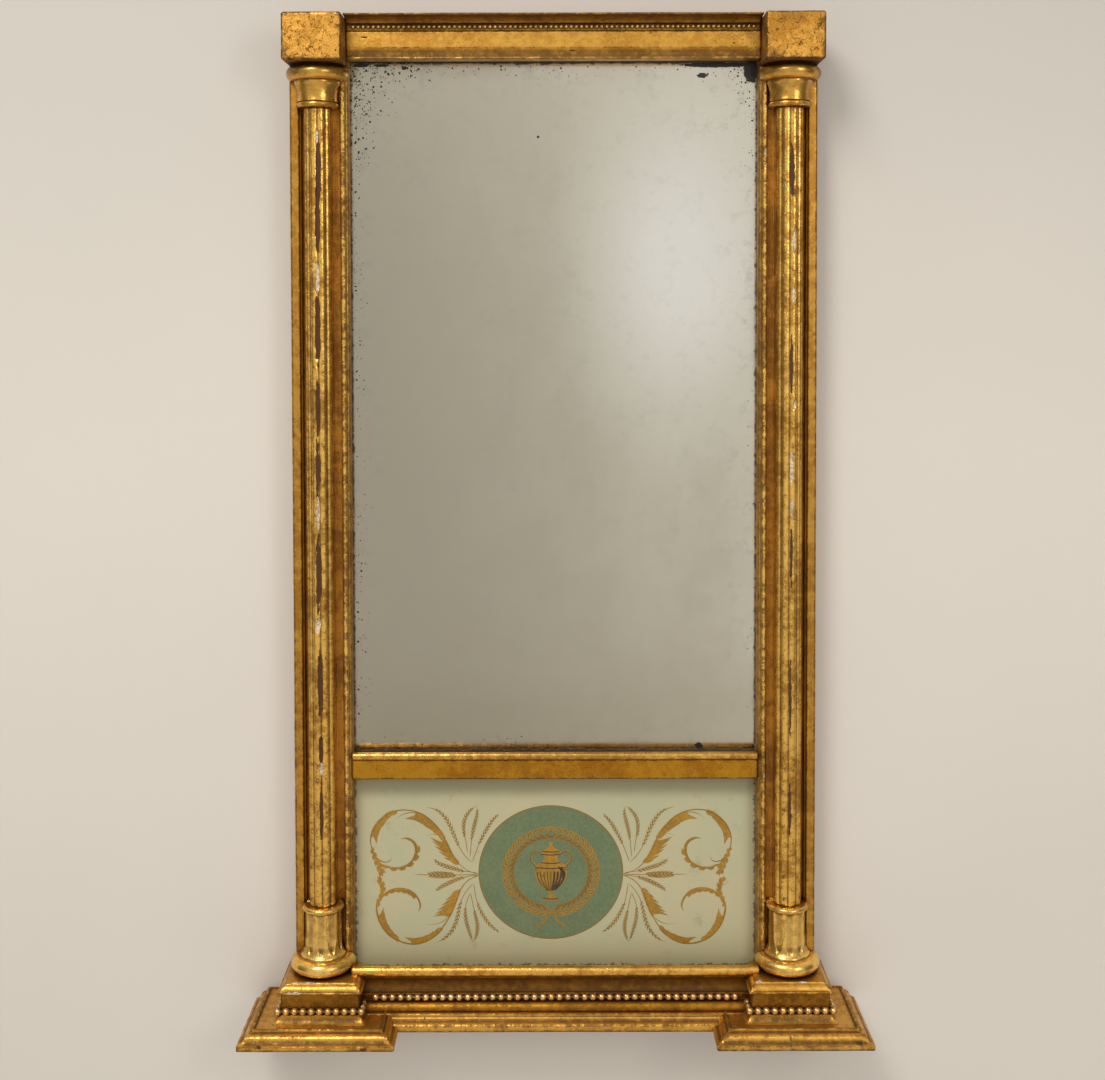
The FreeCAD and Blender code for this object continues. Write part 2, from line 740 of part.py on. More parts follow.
def beadString(name, count, pitch, radius):
    # Beads on a thin string along X, turned in one piece from x = 0, with a flat back.
    thin = radius * size.bead_string.number
    reach = math.sqrt(radius * radius - thin * thin)
    half_turn = []
    for number in range(count):
        middle = number * pitch
        half_turn.append(Part.Arc(FreeCAD.Vector(middle - reach, thin, 0),
                                  FreeCAD.Vector(middle, radius, 0),
                                  FreeCAD.Vector(middle + reach, thin, 0)).toShape())
        if number < count - 1:
            half_turn.append(Part.makeLine((middle + reach, thin, 0),
                                           (middle + pitch - reach, thin, 0)))
    last = (count - 1) * pitch + reach
    half_turn.append(Part.makeLine((last, thin, 0), (last, 0, 0)))
    half_turn.append(Part.makeLine((last, 0, 0), (-reach, 0, 0)))
    half_turn.append(Part.makeLine((-reach, 0, 0), (-reach, thin, 0)))
    turned_beads = Part.Face(Part.Wire(half_turn)).revolve(
        FreeCAD.Vector(0, 0, 0), FreeCAD.Vector(1, 0, 0), 360)
    seat = radius * (1 - size.bead_seat.number)
    waste = Part.makeBox(last + 4 * radius, 2 * radius, 4 * radius,
                         FreeCAD.Vector(-2 * radius, seat, -2 * radius))
    return turned_beads.cut(waste)


def laid(shape, turn_z, x, y, z):
    # The string turned about Z and moved to its place.
    made = shape.copy()
    made.Placement = FreeCAD.Placement(
        FreeCAD.Vector(x, y, z), FreeCAD.Rotation(FreeCAD.Vector(0, 0, 1), turn_z))
    return made


def straightBeads(node, half_reach, pitch, radius, seat_y, z):
    # A string of beads across the front whose flat back lies on y = seat_y.
    count = int(2 * (half_reach.number - radius.number) / pitch.number) + 1
    shape = beadString(node, count, pitch.number, radius.number)
    made = doc.addObject("Part::Feature", node)
    made.Shape = laid(shape, 0.0, 0.0, 0.0, 0.0)
    made.Placement = FreeCAD.Placement(
        FreeCAD.Vector(-pitch.number * (count - 1) / 2,
                       seat_y.number - radius.number * (1 - size.bead_seat.number),
                       z.number), FreeCAD.Rotation())
    keep(made, node)


def plinthBeads(side, sign):
    # Beads along the front of a die, back to the wall outside and to the rail inside.
    node = side + "_plinth_beads"
    radius = size.plinth_bead_radius.number
    lift = radius * (1 - size.bead_seat.number)
    half = size.die_half.number + lift
    middle = plinth_x.number * sign
    front_y = band_face.number - half
    count = int(round(2 * half / size.plinth_bead_pitch.number)) + 1
    pitch = 2 * half / (count - 1)
    z = plinth_bead_z.number
    front = beadString(node, count, pitch, radius)
    strings = [laid(front, 0.0, middle - half, front_y, z)]
    rail_front = face.number - size.rail_cove_top.number - 2 * size.rail_bead_radius.number
    for edge in (-1.0, 1.0):
        outside = edge == sign
        stop = 0.0 if outside else rail_front
        returns = int((stop - front_y - radius - pitch) / pitch) + 1
        if returns < 1:
            continue
        string = beadString(node, returns, pitch, radius)
        if edge < 0:
            last = front_y + pitch * returns
            strings.append(laid(string, -90.0, middle - half, last, z))
        else:
            strings.append(laid(string, 90.0, middle + half, front_y + pitch, z))
    made = doc.addObject("Part::Feature", node)
    made.Shape = Part.makeCompound(strings)
    keep(made, node)


def wrapped(name, sign, rows):
    # A moulding round three sides of a plinth: the run across the front and the two
    # returns back to the wall meet in mitres. Rows are (half width, front, height) and
    # an optional bulge, from the bottom up, with front measured from the strips' face.
    across = [(0.0, rows[0][2])]
    for row in rows:
        across.append((band_face - row[1], row[2]) + tuple(row[3:]))
    across.append((0.0, rows[-1][2]))
    front = padded(name + "_front", "YZ_Plane", across, 2 * size.foot_half)
    right = [(row[0], row[2]) + tuple(-bend for bend in row[3:]) for row in rows]
    left = []
    for number in range(len(rows) - 1, -1, -1):
        point = (-length(rows[number][0]), rows[number][2])
        if number > 0 and len(rows[number - 1]) > 3:
            point = point + (-rows[number - 1][3],)
        left.append(point)
    ends = padded(name + "_returns", "XZ_Plane", right + left,
                  2 * (size.foot_front - band_face))
    place(front, plinth_x * sign)
    place(ends, plinth_x * sign)
    return common(name + "_mitred", front, ends)


def plinthRows():
    # The five layers of a plinth without its beads, as rows for wrapped().
    fillet_front = size.foot_front - (size.foot_half - size.fillet_half)
    slope = size.foot_half - size.fillet_half - size.foot_fillet_step
    cyma_low = size.foot_edge_height
    cyma_high = size.foot_fillet_height - size.foot_step
    cyma_mid = (cyma_low + cyma_high) / 2
    foot = [
        (size.foot_half, size.foot_front, length(0.0)),
        (size.foot_half, size.foot_front, cyma_low, convex),
        (size.foot_half - slope / 2, size.foot_front - slope / 2, cyma_mid, concave),
        (size.foot_half - slope, size.foot_front - slope, cyma_high),
        (size.fillet_half, fillet_front, cyma_high),
        (size.fillet_half, fillet_front, size.foot_fillet_height)]
    ovolo_high = size.foot_flat_height + size.ovolo_height
    ovolo = [
        (size.ovolo_half, size.ovolo_half, size.foot_flat_height, convex),
        (size.ovolo_top_half, size.ovolo_top_half, ovolo_high)]
    cap_low = size.plinth_height - size.cap_height
    die = [(size.die_half, size.die_half, ovolo_high),
           (size.die_half, size.die_half, cap_low)]
    low = size.cap_low_half
    inset = low - size.cap_step
    top = size.cap_top_half
    cap = [
        (low, low, cap_low), (low, low, cap_low + size.cap_fillet),
        (inset, inset, cap_low + size.cap_fillet, -shallow),
        (top, top, size.plinth_height - size.cap_edge),
        (top, top, size.plinth_height)]
    return (("foot", foot), ("ovolo", ovolo), ("die", die), ("cap", cap))


def plinth(side, sign):
    envelopes = []
    fillet_front = size.foot_front - (size.foot_half - size.fillet_half)
    for layer, rows in plinthRows():
        node = "%s_plinth_%s" % (side, layer)
        whole = wrapped(node, sign, rows)
        envelopes.append(whole)
        space = [box(node + "_carcass", (-half_frame, half_frame), (face, 0.0),
                     (0.0, size.carcass_height))]
        if layer == "foot":
            inside = size.fillet_half - size.foot_fillet_width
            space.append(box(node + "_sunk_top",
                             (plinth_x * sign - inside, plinth_x * sign + inside),
                             (band_face - fillet_front + size.foot_fillet_width, 0.0),
                             (size.foot_flat_height, size.foot_fillet_height)))
        keep(cut(node, whole, fuse(node + "_space", space)), node)
    return envelopes


def friezeStrips():
    low = mirror_high - size.frieze_drop
    hollow_low = low + size.frieze_lip
    flat_low = hollow_low + size.frieze_hollow_height
    flat_high = flat_low + size.frieze_flat_height
    flat = size.frieze_board_depth
    inset = flat - size.frieze_hollow_depth
    keep(strip("frieze_board", [
        (0.0, low), (size.frieze_lip_depth, low), (size.frieze_lip_depth, hollow_low),
        (inset, hollow_low, -shallow), (flat, flat_low), (flat, flat_high), (0.0, flat_high)],
        2 * half_frieze), "frieze_board")
    seat_high = flat_high + size.cornice_seat
    cove_front = size.cornice_seat_depth + size.cornice_step + size.cornice_cove_depth
    cove_high = seat_high + size.cornice_cove_height
    top = cove_high + size.cornice_fillet
    keep(strip("frieze_cornice", [
        (0.0, flat_high), (size.cornice_seat_depth, flat_high),
        (size.cornice_seat_depth, seat_high),
        (size.cornice_seat_depth + size.cornice_step, seat_high, -shallow),
        (cove_front, cove_high), (cove_front + size.cornice_step, cove_high),
        (cove_front + size.cornice_step, top), (0.0, top)],
        2 * half_frieze), "frieze_cornice")
    straightBeads("frieze_beads", half_frieze - size.corner_edge, size.frieze_bead_pitch,
                  size.frieze_bead_radius, face - size.cornice_seat_depth,
                  flat_high + size.cornice_seat / 2 + size.frieze_bead_radius / 3)


def crossRailStrips():
    bead_low = mirror_low - size.sight_bead_seat
    radius = size.sight_bead_radius
    bead_core = size.sight_bead_depth - radius
    keep(strip("cross_rail_sight_moulding", [
        (0.0, bead_low), (bead_core, bead_low, half_round),
        (bead_core, bead_low + 2 * radius, convex),
        (bead_core - radius, bead_low + radius), (bead_core - radius, mirror_low),
        (0.0, mirror_low)],
        2 * half_sight),
        "cross_rail_sight_moulding")
    band = size.cross_band_depth
    edge = size.band_edge
    keep(strip("cross_rail_band", [
        (0.0, size.cross_rail_low), (band - edge, size.cross_rail_low, convex),
        (band, size.cross_rail_low + edge), (band, bead_low), (0.0, bead_low)],
        2 * half_sight), "cross_rail_band")


def baseRailStrips(envelopes):
    # The strips run between the strips beside the columns and are scribed to the plinths
    # and to the column bases.
    foot_high = size.rail_foot_height
    foot = size.rail_foot_depth
    slope = foot - size.rail_foot_fillet - size.rail_foot_level
    cyma_low = size.rail_foot_edge
    cyma_high = foot_high - size.rail_foot_step
    ovolo_high = foot_high + size.rail_ovolo_height
    cove_low = ovolo_high + size.rail_seat_height
    cove_high = foot_high + size.rail_cove_height
    seat = size.rail_cove_top
    radius = size.rail_torus_radius
    torus_core = size.rail_torus_depth - radius
    profiles = (
        ("base_rail_foot", [
            (0.0, 0.0), (foot, 0.0), (foot, cyma_low, convex),
            (foot - slope / 2, (cyma_low + cyma_high) / 2, concave),
            (foot - slope, cyma_high), (size.rail_foot_fillet, cyma_high),
            (size.rail_foot_fillet, foot_high), (0.0, foot_high)]),
        ("base_rail_cove", [
            (0.0, foot_high), (size.rail_ovolo_depth, foot_high, convex),
            (size.rail_ovolo_top, ovolo_high), (seat, ovolo_high), (seat, cove_low),
            (size.rail_cove_depth, cove_low, -deep),
            (seat, cove_high - size.rail_cove_edge), (seat, cove_high), (0.0, cove_high)]),
        ("base_rail_torus", [
            (torus_core - radius, cove_high), (torus_core, cove_high, half_round),
            (torus_core, cove_high + 2 * radius, convex),
            (torus_core - radius, cove_high + radius)]),
    )
    for node, points in profiles:
        whole = strip(node + "_run", points, 2 * half_sight)
        tool = fuse(node + "_scribe", envelopes)
        keep(cut(node, whole, tool), node)
    bead_reach = plinth_x - size.die_half - 2 * size.plinth_bead_radius
    straightBeads("base_rail_beads", bead_reach, size.rail_bead_pitch,
                  size.rail_bead_radius, face - seat, ovolo_high + size.rail_bead_radius)


def ringPlate(side, sign):
    # A flat plate with a rolled barrel at its foot, and two screw holes.
    node = side + "_ring_plate"
    x = hanger_x * sign
    half = size.plate_width / 2
    plate = box(node + "_flat", (x - half, x + half), (0.0, size.plate_thickness),
                (ring_z, ring_z + size.plate_height))
    barrel_half = size.barrel_length / 2
    barrel = cylinderX(node + "_barrel", size.barrel_radius,
                       (x - barrel_half, x + barrel_half), ring_y, ring_z)
    holes = [cylinderX(node + "_bore", size.wire_radius + size.ring_play,
                       (x - half, x + half), ring_y, ring_z)]
    for number, up in enumerate((size.screw_low, size.screw_high)):
        holes.append(cylinderY("%s_screw_hole_%d" % (node, number),
                               size.screw_radius + size.peg_clearance, x,
                               (0.0, size.plate_thickness), ring_z + up))
    keep(cut(node, fuse(node + "_blank", [plate, barrel]), fuse(node + "_holes", holes)), node)


def ring(side, sign):
    # A straight bar through the barrel and a half circle below it.
    node = side + "_ring"
    x = hanger_x * sign
    bend = size.ring_bend_radius
    bar = cylinderX(node + "_bar", size.wire_radius, (x - bend, x + bend), ring_y, ring_z)
    loop = doc.addObject("Part::Torus", node + "_loop")
    loop.Angle3 = 180.0
    loop.Placement.Rotation = FreeCAD.Rotation(FreeCAD.Vector(1, 0, 0), -90)
    bind(loop, "Radius1", bend)
    bind(loop, "Radius2", size.wire_radius)
    place(loop, x, ring_y, ring_z)
    parts = [bar, loop]
    for number, end in enumerate((x - bend, x + bend)):
        knee = doc.addObject("Part::Sphere", "%s_knee_%d" % (node, number))
        bind(knee, "Radius", size.wire_radius)
        place(knee, end, ring_y, ring_z)
        parts.append(knee)
    keep(fuse(node, parts), node)


def screws():
    thick = size.plate_thickness
    gather("hanger_screws", [
        pin("screw_%d" % number, size.screw_radius, size.screw_head_radius, x,
            (-size.screw_length, thick, thick + size.screw_head), z)
        for number, (x, z) in enumerate(screwPlaces())])


scribed_to = []
for side, sign in sides:
    stile(side, sign)
    bands(side, sign)
    shaft(side, sign)
    capital(side, sign)
    scribed_to.append(columnBase(side, sign))
    cornerBlock(side, sign)
    scribed_to.extend(plinth(side, sign))
    plinthBeads(side, sign)
    ringPlate(side, sign)
    ring(side, sign)
for row in rails:
    rail(*row)
pegs()
plates()
backboards()
nails()
friezeStrips()
crossRailStrips()
baseRailStrips(scribed_to)
screws()
doc.recompute()

for thing in doc.Objects:
    if "Invalid" in thing.State or "Error" in thing.State:
        raise ValueError("%s failed: %s" % (thing.Label, thing.State))
os.makedirs("parts", exist_ok=True)
for thing in nodes:
    shape = thing.Shape
    if shape.isNull() or not shape.isValid() or not shape.Solids:
        raise ValueError("%s has no valid shape" % thing.Label)
    shape.exportStep("parts/%s.step" % thing.Label)
whole = Part.makeCompound([thing.Shape for thing in nodes]).BoundBox
print("%d sub-parts, %.1f x %.1f x %.1f mm" % (
    len(nodes), whole.XLength, whole.YLength, whole.ZLength))
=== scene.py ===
import math
import bpy
import numpy as np
from mathutils import Matrix


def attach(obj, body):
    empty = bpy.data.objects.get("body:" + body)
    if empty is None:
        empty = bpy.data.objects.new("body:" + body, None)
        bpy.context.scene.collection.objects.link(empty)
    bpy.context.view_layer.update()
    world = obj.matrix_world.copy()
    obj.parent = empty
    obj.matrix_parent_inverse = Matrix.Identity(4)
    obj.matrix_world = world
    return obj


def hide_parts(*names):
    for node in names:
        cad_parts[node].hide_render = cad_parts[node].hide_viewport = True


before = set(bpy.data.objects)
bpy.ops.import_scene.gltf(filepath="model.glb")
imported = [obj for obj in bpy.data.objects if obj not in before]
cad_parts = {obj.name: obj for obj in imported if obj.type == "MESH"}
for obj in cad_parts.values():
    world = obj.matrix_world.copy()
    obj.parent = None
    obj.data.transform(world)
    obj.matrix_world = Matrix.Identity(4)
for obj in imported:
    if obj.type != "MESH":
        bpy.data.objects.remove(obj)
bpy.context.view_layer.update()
print("frame loaded")

# Gilt pier mirror. X runs to the right, Z up, and the front looks towards -Y.
# Sizes in the dictionaries are millimetres, colours are linear.
mm = 0.001
sides = (("left", -1), ("right", 1))

build = {"face": -20.0, "bandFace": -31.0, "glass": -12.0, "columnX": 270.0, "plinthX": 267.5,
         "halfSight": 235.5, "halfFrame": 302.5, "channelLow": 245.5, "channelHigh": 289.5,
         "mirrorLow": 306.0, "mirrorHigh": 1109.0, "panelLow": 49.0}
# bend of a quarter circle between two points of an outline
quarter = 0.41


# Camera and light
camera = {"x": -0.0018, "y": -1.611, "z": 0.8287, "pitch": 1.786, "roll": -0.119,
          "lens": 44.76, "shift": -0.1739}


def setCamera():
    pitch = math.radians(camera["pitch"])
    roll = math.radians(camera["roll"])
    ahead = np.array([0.0, math.cos(pitch), -math.sin(pitch)])
    right = np.array([1.0, 0.0, 0.0])
    up = np.cross(right, ahead)
    across = math.cos(roll) * right + math.sin(roll) * up
    upright = math.cos(roll) * up - math.sin(roll) * right
    turn = np.eye(4)
    turn[:3, 0] = across
    turn[:3, 1] = upright
    turn[:3, 2] = -ahead
    turn[:3, 3] = (camera["x"], camera["y"], camera["z"])
    data = bpy.data.cameras.new("viewpoint")
    data.lens = camera["lens"]
    data.shift_y = camera["shift"]
    holder = bpy.data.objects.new("viewpoint", data)
    bpy.context.scene.collection.objects.link(holder)
    holder.matrix_world = Matrix(turn.tolist())
    bpy.context.scene.camera = holder


lights = {"window": {"place": (-0.9, -1.7, 2.7), "size": 0.9, "power": 40.0, "colour": (1.0, 0.97, 0.92)},
          "room": {"place": (1.6, -2.3, 1.5), "size": 0.8, "power": 12.0, "colour": (1.0, 0.95, 0.88)},
          "aim": (0.0, 0.0, 0.55), "tall": 1.4, "world": (1.0, 0.975, 0.945), "least": 0.11,
          # pale sides of the room: axis of the way looked (0 is X), rise from, rise to, amount
          "sides": ((1, -0.35, -0.88, 0.60), (2, 0.25, 0.85, 0.50), (1, 0.10, 0.70, 0.75))}


def setLights():
    for name in ("window", "room"):
        row = lights[name]
        data = bpy.data.lights.new(name, "AREA")
        data.shape = "RECTANGLE"
        data.size = row["size"]
        data.size_y = row["size"] * lights["tall"]
        data.energy = row["power"]
        data.color = row["colour"]
        holder = bpy.data.objects.new(name, data)
        bpy.context.scene.collection.objects.link(holder)
        place = np.array(row["place"])
        back = place - np.array(lights["aim"])
        back = back / np.linalg.norm(back)
        across = np.cross([0.0, 0.0, 1.0], back)
        across = across / np.linalg.norm(across)
        turn = np.eye(4)
        turn[:3, 0] = across
        turn[:3, 1] = np.cross(back, across)
        turn[:3, 2] = back
        turn[:3, 3] = place
        holder.matrix_world = Matrix(turn.tolist())
    world = bpy.data.worlds.new("room air")
    world.use_nodes = True
    tree = world.node_tree
    aim = tree.nodes.new("ShaderNodeTexCoord").outputs["Generated"]
    parts = tree.nodes.new("ShaderNodeSeparateXYZ")
    tree.links.new(aim, parts.inputs[0])
    light = None
    for number, (outlet, low, high, amount) in enumerate(lights["sides"]):
        ramp = tree.nodes.new("ShaderNodeMapRange")
        ramp.interpolation_type = "SMOOTHSTEP"
        for index, value in ((1, low), (2, high), (3, 0.0), (4, amount)):
            ramp.inputs[index].default_value = value
        tree.links.new(parts.outputs[outlet], ramp.inputs[0])
        joined = tree.nodes.new("ShaderNodeMath")
        joined.operation = "ADD"
        joined.inputs[1].default_value = lights["least"]
        tree.links.new(ramp.outputs[0], joined.inputs[0])
        if number:
            tree.links.new(light, joined.inputs[1])
        light = joined.outputs[0]
    tree.nodes["Background"].inputs["Color"].default_value = lights["world"] + (1.0,)
    tree.links.new(light, tree.nodes["Background"].inputs["Strength"])
    bpy.context.scene.world = world
    bpy.context.scene.view_settings.view_transform = "Standard"


setCamera()
setLights()
print("camera and lights set")


# Shapes
def scatter(cell, seed):
    # A steady random number from 0 to 1 for every whole-numbered cell: its coordinates are
    # multiplied by large odd numbers, mixed, and divided by the largest value.
    whole = cell.astype(np.int64).astype(np.uint32)
    mixed = whole[..., 0] * np.uint32(2376512323) ^ whole[..., 1] * np.uint32(3625334849)
    mixed = mixed ^ whole[..., 2] * np.uint32(3407524639) ^ np.uint32(seed * 7919 + 17)
    mixed = (mixed ^ (mixed >> np.uint32(15))) * np.uint32(2246822519)
    mixed = (mixed ^ (mixed >> np.uint32(13))) * np.uint32(3266489917)
    return (mixed ^ (mixed >> np.uint32(16))) / 4294967295.0


def cloud(points, size, seed):
    # Value noise from -1 to 1: random numbers on a lattice of that size (mm), blended
    # along each axis with the S curve 3t^2 - 2t^3.
    place = points / (np.asarray(size, float) * mm)
    low = np.floor(place).astype(np.int64)
    part = place - low
    part = part * part * (3 - 2 * part)
    total = np.zeros(place.shape[:-1])
    for corner in range(8):
        step = np.array([corner & 1, corner >> 1 & 1, corner >> 2])
        share = np.prod(np.where(step == 1, part, 1 - part), axis=-1)
        total += share * scatter(low + step, seed)
    return total * 2 - 1


def ease(value, low, high):
    # Rises from 0 to 1 between low and high along an S curve.
    part = np.clip((value - low) / (high - low), 0, 1)
    return part * part * (3 - 2 * part)


def arcPoints(start, end, bend, step):
    # Points from start up to end, along an arc whose height is bend times half the chord
    # (to the left of the way where bend is positive), or along a straight line.
    start = np.asarray(start, float)
    end = np.asarray(end, float)
    way = end - start
    chord = np.hypot(*way)
    count = max(2, int(math.ceil(chord * (1 + abs(bend)) / step)))
    share = np.arange(count) / count
    if bend == 0:
        return start + share[:, None] * way
    half = 2 * math.atan(abs(bend))
    radius = chord / 2 / math.sin(half)
    middle = (start + end) / 2
    out = np.array([-way[1], way[0]]) / chord * (1 if bend > 0 else -1)
    centre = middle - out * radius * math.cos(half)
    angle = -half + 2 * half * share
    return centre + radius * (np.cos(angle)[:, None] * out + np.sin(angle)[:, None] * way / chord)


def soften(loop, reach):
    # Rounds an evenly spaced closed line: a Gaussian average along it, done on its waves.
    flat = loop[..., 0] + 1j * loop[..., 1]
    count = flat.shape[-1]
    length = np.abs(np.roll(flat, -1, axis=-1) - flat).sum(axis=-1, keepdims=True)
    waves = np.fft.fftfreq(count) * count
    kept = np.fft.fft(flat, axis=-1) * np.exp(-0.5 * (2 * np.pi * waves * reach / length) ** 2)
    back = np.fft.ifft(kept, axis=-1)
    return np.stack([back.real, back.imag], axis=-1)


def drawn(points, step, soft):
    # A closed outline from corner points (across, up, bend), evenly spaced at about the
    # step, with corners rounded as gesso rounds them. Gives the line, its outward
    # normals and how proud each point stands of the line's own average (mm).
    runs = []
    for number, point in enumerate(points):
        following = points[(number + 1) % len(points)]
        runs.append(arcPoints(point[:2], following[:2], point[2] if len(point) > 2 else 0, 0.1))
    fine = np.concatenate(runs)
    area = np.sum(fine[:, 0] * np.roll(fine[:, 1], -1) - np.roll(fine[:, 0], -1) * fine[:, 1])
    if area < 0:
        fine = fine[::-1]
    closed = np.vstack([fine, fine[:1]])
    along = np.concatenate([[0], np.cumsum(np.hypot(*np.diff(closed, axis=0).T))])
    count = int(round(along[-1] / step))
    even = np.arange(count) / count * along[-1]
    line = np.stack([np.interp(even, along, closed[:, 0]), np.interp(even, along, closed[:, 1])], axis=1)
    line = soften(line, soft)
    way = np.roll(line, -1, axis=0) - np.roll(line, 1, axis=0)
    out = np.stack([way[:, 1], -way[:, 0]], axis=1) / np.maximum(np.hypot(*way.T), 1e-9)[:, None]
    proud = np.sum((line - soften(line, 2.2)) * out, axis=1)
    return line, out, proud


def spaced(low, high, step):
    return np.linspace(low, high, max(2, int(round(abs(high - low) / step)) + 1))


def gridNormals(grid):
    # Normals of a grid of points whose rows are closed: the cross product of its two ways.
    along = np.gradient(grid, axis=0)
    across = np.roll(grid, -1, axis=1) - np.roll(grid, 1, axis=1)
    out = np.cross(across, along)
    return out / np.maximum(np.linalg.norm(out, axis=-1), 1e-12)[..., None]


def gridFaces(rows, cols, closed, first=0):
    index = np.arange(rows * cols).reshape(rows, cols) + first
    beside = np.roll(index, -1, axis=1)
    if not closed:
        index, beside = index[:, :-1], beside[:, :-1]
    return np.stack([index[:-1], beside[:-1], beside[1:], index[1:]], axis=-1).reshape(-1, 4)


def meshFrom(name, points, groups, marks, material, flat=()):
    # One mesh from points and groups of faces with equal corner counts. If the volume
    # comes out negative, every face is turned over, so that faces point outwards.
    volume = 0.0
    for faces in groups:
        for corner in range(1, faces.shape[1] - 1):
            a, b, c = points[faces[:, 0]], points[faces[:, corner]], points[faces[:, corner + 1]]
            volume += np.sum(a * np.cross(b, c))
    if volume < 0:
        groups = [faces[:, ::-1] for faces in groups]
    mesh = bpy.data.meshes.new(name)
    corners = np.concatenate([faces.ravel() for faces in groups])
    sizes = np.concatenate([np.full(len(faces), faces.shape[1]) for faces in groups])
    mesh.vertices.add(len(points))
    mesh.vertices.foreach_set("co", points.astype(np.float32).ravel())
    mesh.loops.add(len(corners))
    mesh.loops.foreach_set("vertex_index", corners.astype(np.int32))
    mesh.polygons.add(len(sizes))
    mesh.polygons.foreach_set("loop_start", (np.cumsum(sizes) - sizes).astype(np.int32))
    smooth = np.concatenate([np.full(len(faces), number not in flat)
                             for number, faces in enumerate(groups)])
    mesh.polygons.foreach_set("use_smooth", smooth)
    mesh.update(calc_edges=True)
    for mark, values in marks.items():
        layer = mesh.attributes.new(mark, "FLOAT", "POINT")
        layer.data.foreach_set("value", np.broadcast_to(values, len(points)).astype(np.float32))
    mesh.materials.append(material)
    piece = bpy.data.objects.new(name, mesh)
    bpy.context.scene.collection.objects.link(piece)
    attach(piece, "frame")
    return piece


# Wear of the gesso and its gilding, in mm: sizes of the slow and the quick sway, of flakes
# and of crumbs, how proud an edge is when it is fully rubbed, how deep a groove lies when it
# is fully darkened (dirt and painted shade), how deep a chip is, how ragged a hollow is and in
# what size, how much the ends of a moulding are rubbed and how far in, and how many times the
# sway is drawn out along it. Darker low edge: height where it begins, height where it is full,
# and amount. Painted shade inwards of a lip: fade, amount.
wear = {"sway": 17, "ripple": 5, "flake": 4.5, "crumb": 1.9, "proud": 0.55, "groove": 0.4, "chip": 0.5,
        "ragged": 0.34, "tear": (2.4, 2.4, 5), "endRub": 0.5, "endReach": 1.2, "stretch": 6,
        "lowEdgeDark": (3.6, 0.6, 0.85), "lipShade": (0.4, 0.62)}


def worn(grid, out, proud, seed, sway=0.16, chips=0.0, hollows=(), run=(1, 1, 1)):
    # Hand-laid gesso: the surface sways along its normal by slow and quick noise, proud
    # edges lose small flakes where noise is high, and each hollow (x, y, z, reach x, y, z,
    # depth, kind) sinks the surface inside a ragged ellipsoid. The sway is drawn out along
    # the way the moulding runs.
    rub = np.clip(proud / wear["proud"], 0, 1)
    # Concave places get the groove mark, which later darkens them with dirt and painted shade.
    groove = np.clip(-proud / wear["groove"], 0, 1)
    run = np.asarray(run, float)
    slow = cloud(grid, wear["sway"] * run, seed)
    shift = sway * (slow + 0.35 * cloud(grid, wear["ripple"] * run, seed + 1))
    flake = cloud(grid, wear["flake"], seed + 2) + 0.5 * cloud(grid, wear["crumb"], seed + 3)
    loss = ease(flake, 0.62, 0.86) * ease(rub, 0.45, 0.9) * chips
    shift = shift - wear["chip"] * loss
    bare = np.zeros(loss.shape)
    for x, y, z, reachX, reachY, reachZ, depth, kind in hollows:
        away = (grid / mm - np.array([x, y, z])) / np.array([reachX, reachY, reachZ])
        ragged = np.linalg.norm(away, axis=-1) + wear["ragged"] * cloud(grid, wear["tear"], seed + 4)
        patch = 1 - ease(ragged, 0.72, 1.05)
        shift = shift - depth * patch
        if kind == "gesso":
            loss = np.maximum(loss, patch)
        elif kind == "wood":
            bare = np.maximum(bare, patch)
        else:
            groove = np.maximum(groove, patch)
    return grid + out * (shift * mm)[..., None], {"rub": rub, "groove": groove, "loss": loss, "bare": bare}


def darkenLowEdge(grid, marks):
    # Darker along the lowest edge.
    darkFrom, darkFull, most = wear["lowEdgeDark"]
    low = ease(grid[..., 2] / mm + 1.6 * cloud(grid, 4, 6), darkFrom, darkFull)
    marks["groove"] = np.maximum(marks["groove"], most * low)


def closeEnds(rows, cols, first=0):
    start = np.arange(cols)[None, ::-1] + first
    end = np.arange(cols)[None] + (rows - 1) * cols + first
    return [start, end]


def finished(name, node, grid, marks, material):
    # The piece made of a closed grid, with both ends capped, in place of its node.
    rows, cols = grid.shape[:2]
    marks = {key: value.ravel() for key, value in marks.items()}
    groups = [gridFaces(rows, cols, True)] + closeEnds(rows, cols)
    piece = meshFrom(name, grid.reshape(-1, 3), groups, marks, materials[material], flat=(1, 2))
    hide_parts(node)


def moulding(name, node, points, span, axis, seed, slot="gilt_moulding", step=0.8, along=2.4, soft=0.7,
             sway=0.16, chips=0.35, hollows=(), material="gilding", lip=0.0):
    # A moulding: the outline carried along X or Z and closed at both ends. Inwards of its
    # lip (a distance from the middle) it darkens with painted shade.
    line, out, proud = drawn(points, step, soft)
    path = spaced(*span, along)
    grid = np.zeros((len(path), len(line), 3))
    normal = np.zeros(grid.shape)
    if axis == "x":
        grid[..., 0] = path[:, None]
        grid[..., 1:] = line
        normal[..., 1:] = out
    else:
        grid[..., 2] = path[:, None]
        grid[..., :2] = line
        normal[..., :2] = out
    grid *= mm
    near = np.minimum(path - path[0], path[-1] - path)[:, None]
    proud = proud[None] + wear["endRub"] * np.exp(-near / wear["endReach"])
    run = (wear["stretch"], 1, 1) if axis == "x" else (1, 1, wear["stretch"])
    grid, marks = worn(grid, normal, proud, seed, sway, chips, hollows, run)
    darkenLowEdge(grid, marks)
    if lip:
        # Painted shade on the lip's step beside the glass.
        fade, most = wear["lipShade"]
        low = ease(np.abs(grid[..., 0]) / mm + 0.5 * cloud(grid, 5, 8), lip + fade, lip - fade)
        marks["groove"] = np.maximum(marks["groove"], most * low)
    finished(name, node, grid, marks, material)


